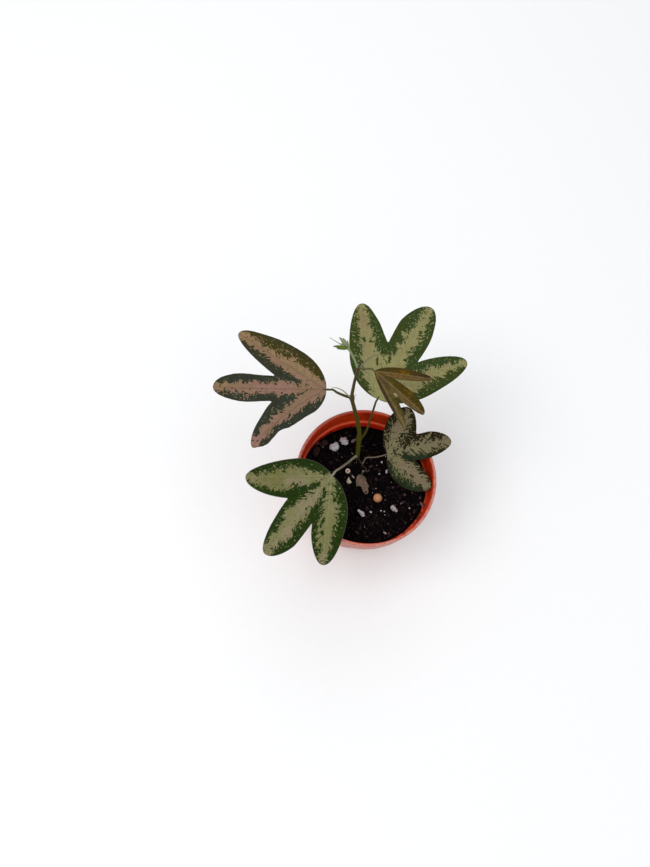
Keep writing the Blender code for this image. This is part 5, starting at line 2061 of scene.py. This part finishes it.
@dataclass(frozen=True)
class Grain:
    """A loose bit on the soil, made finer from its own solid."""

    node: str
    kind: GrainKind
    colour: Colour
    second: Colour
    relief_mm: float
    dimple_mm: float = 0.0
    dimple_from: float = 0.86
    lump_mm: float = 1.2
    grit_mm: float = 0.45
    grit_share: float = 0.4
    foot_width: float = 1.25
    taper: float = 0.0
    eye: tuple = (-0.12, -0.30, 0.95)

    def finish(self) -> Finish:
        """Choose the finish of this kind of grain.

        Returns:
            The finish.
        """
        look = (self.node + "_skin", self.colour, self.second)
        if self.dimple_mm:
            return RingedFinish(*look)
        if self.kind is GrainKind.PERLITE:
            return GrainFinish(*look, 0.22, 0.9)
        if self.kind is GrainKind.BARK:
            return GrainFinish(*look, 0.3, 0.85, stretch=0.35)
        return GrainFinish(*look, 0.6, 0.42)

    def build(self) -> None:
        """Refine the solid's surface, dress it and let it stand for the solid."""
        bm = bmesh.new()
        bm.from_mesh(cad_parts[self.node].data)
        bmesh.ops.remove_doubles(bm, verts=bm.verts, dist=WELD)
        bmesh.ops.subdivide_edges(bm, edges=bm.edges, cuts=3, use_grid_fill=True, smooth=0.9)
        low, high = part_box(self.node)
        middle = (low + high) / 2
        eye = Vector(self.eye).normalized()
        bm.normal_update()
        normals = [vert.normal.copy() for vert in bm.verts]
        tone_layer = bm.verts.layers.float.new("tone")
        for vert, normal in zip(bm.verts, normals):
            place = vert.co / MM
            relief = noise.noise(place / self.lump_mm) + noise.noise(place / self.grit_mm) * self.grit_share
            vert.co += normal * relief * self.relief_mm * MM
            toward = (vert.co - middle).normalized().dot(eye)
            vert[tone_layer] = toward
            if self.dimple_mm and toward > self.dimple_from:
                vert.co -= eye * self.dimple_mm * MM * (toward - self.dimple_from) / (1.0 - self.dimple_from)
            if self.taper:
                rise = (vert.co.y - low.y) / (high.y - low.y)
                vert.co.x = middle.x + (vert.co.x - middle.x) * (self.foot_width - self.taper * rise)
        finished(self.node + "_grain", to_mesh(bm), [self.finish()], [self.node], 60.0)


PERLITE_TONES = (paint(216, 212, 214), paint(170, 164, 166))
BARK_TONES = (paint(56, 29, 25), paint(28, 16, 14))
GRAINS = (
    Grain("perlite_back_left", GrainKind.PERLITE, *PERLITE_TONES, 0.5),
    Grain("perlite_back", GrainKind.PERLITE, *PERLITE_TONES, 0.5),
    Grain("perlite_front", GrainKind.PERLITE, *PERLITE_TONES, 0.4),
    Grain("perlite_right", GrainKind.PERLITE, paint(190, 180, 182), paint(146, 136, 138), 0.4),
    Grain("perlite_shard", GrainKind.PERLITE, paint(206, 202, 178), paint(166, 162, 136), 0.12, taper=1.15),
    Grain("bark_left", GrainKind.BARK, *BARK_TONES, 0.55),
    Grain("bark_back_left", GrainKind.BARK, *BARK_TONES, 0.45),
    Grain("prill_tan", GrainKind.PRILL, paint(202, 140, 88), paint(186, 138, 112), 0.06),
    Grain("prill_pale", GrainKind.PRILL, paint(222, 200, 178), paint(136, 58, 32), 0.05, dimple_mm=0.5),
)


@dataclass(frozen=True)
class Studio:
    """Camera, soft lights and the pale floor. A light has a name, a place, a size and a power."""

    eye_mm: tuple = (-34.516, -69.407, 290.070)
    right: tuple = (0.9971, 0.0, 0.0760)
    down: tuple = (0.0255, -0.9419, -0.3350)
    ahead: tuple = (0.0716, 0.3360, -0.9391)
    focal_px: float = 652.0
    frame_px: tuple = (650, 867)
    sensor_mm: float = 36.0
    lights: tuple = (
        ("key_light", (-0.45, -0.10, 0.75), 0.45, 3.2),
        ("fill_light", (0.55, -0.45, 0.55), 0.6, 0.9),
        ("back_light", (0.10, 0.70, 0.50), 0.5, 0.7),
    )
    lit_point: tuple = (0.0, 0.0, 0.05)
    sky: Colour = (0.95, 0.97, 1.0, 1.0)
    sky_strength: float = 0.78
    floor_radius: float = 20.0

    def camera(self) -> None:
        """Place the camera that sees the pot as the photograph does."""
        data = bpy.data.cameras.new("photo_view")
        data.sensor_width = self.sensor_mm
        data.lens = self.sensor_mm * self.focal_px / max(self.frame_px)
        data.clip_start = 0.01
        camera = placed("photo_view", data)
        turn = Matrix((Vector(self.right), -Vector(self.down), -Vector(self.ahead))).transposed().to_4x4()
        camera.matrix_world = Matrix.Translation(Vector(self.eye_mm) * MM) @ turn
        bpy.context.scene.camera = camera

    def light(self, name: str, place: tuple, size: float, power: float) -> None:
        """Add a soft square light that looks at the middle of the plant.

        Args:
            name: Its name.
            place: Its place, in metres.
            size: Its side, in metres.
            power: Its power, in watts.
        """
        data = bpy.data.lights.new(name, "AREA")
        data.shape = "SQUARE"
        data.size = size
        data.energy = power
        lamp = placed(name, data)
        lamp.location = place
        aim = Vector(self.lit_point) - Vector(place)
        lamp.rotation_euler = aim.to_track_quat("-Z", "Y").to_euler()

    def build(self) -> None:
        """Build the camera, the lights, the sky and the floor."""
        self.camera()
        for light in self.lights:
            self.light(*light)
        world = bpy.data.worlds.new("pale_sky")
        world.use_nodes = True
        glow = world.node_tree.nodes["Background"]
        glow.inputs["Color"].default_value = self.sky
        glow.inputs["Strength"].default_value = self.sky_strength
        bpy.context.scene.world = world
        bpy.context.scene.view_settings.view_transform = "Standard"
        bm = bmesh.new()
        bmesh.ops.create_circle(bm, cap_ends=True, segments=96, radius=self.floor_radius)
        floor = placed("floor", to_mesh(bm))
        floor.data.materials.append(FloorFinish().build())


def main() -> None:
    """Dress the pot and the plant, and report each piece."""
    logging.basicConfig(level=logging.INFO, format="%(name)s: %(message)s")
    bed = SoilBed()
    pieces = (NurseryPot(), bed, Litter(bed), Vine(), GrowingTip(), *BLADES, DEAD_BLADE, *GRAINS)
    for piece in (Studio(), *pieces):
        piece.build()


if __name__ == "__main__":
    main()
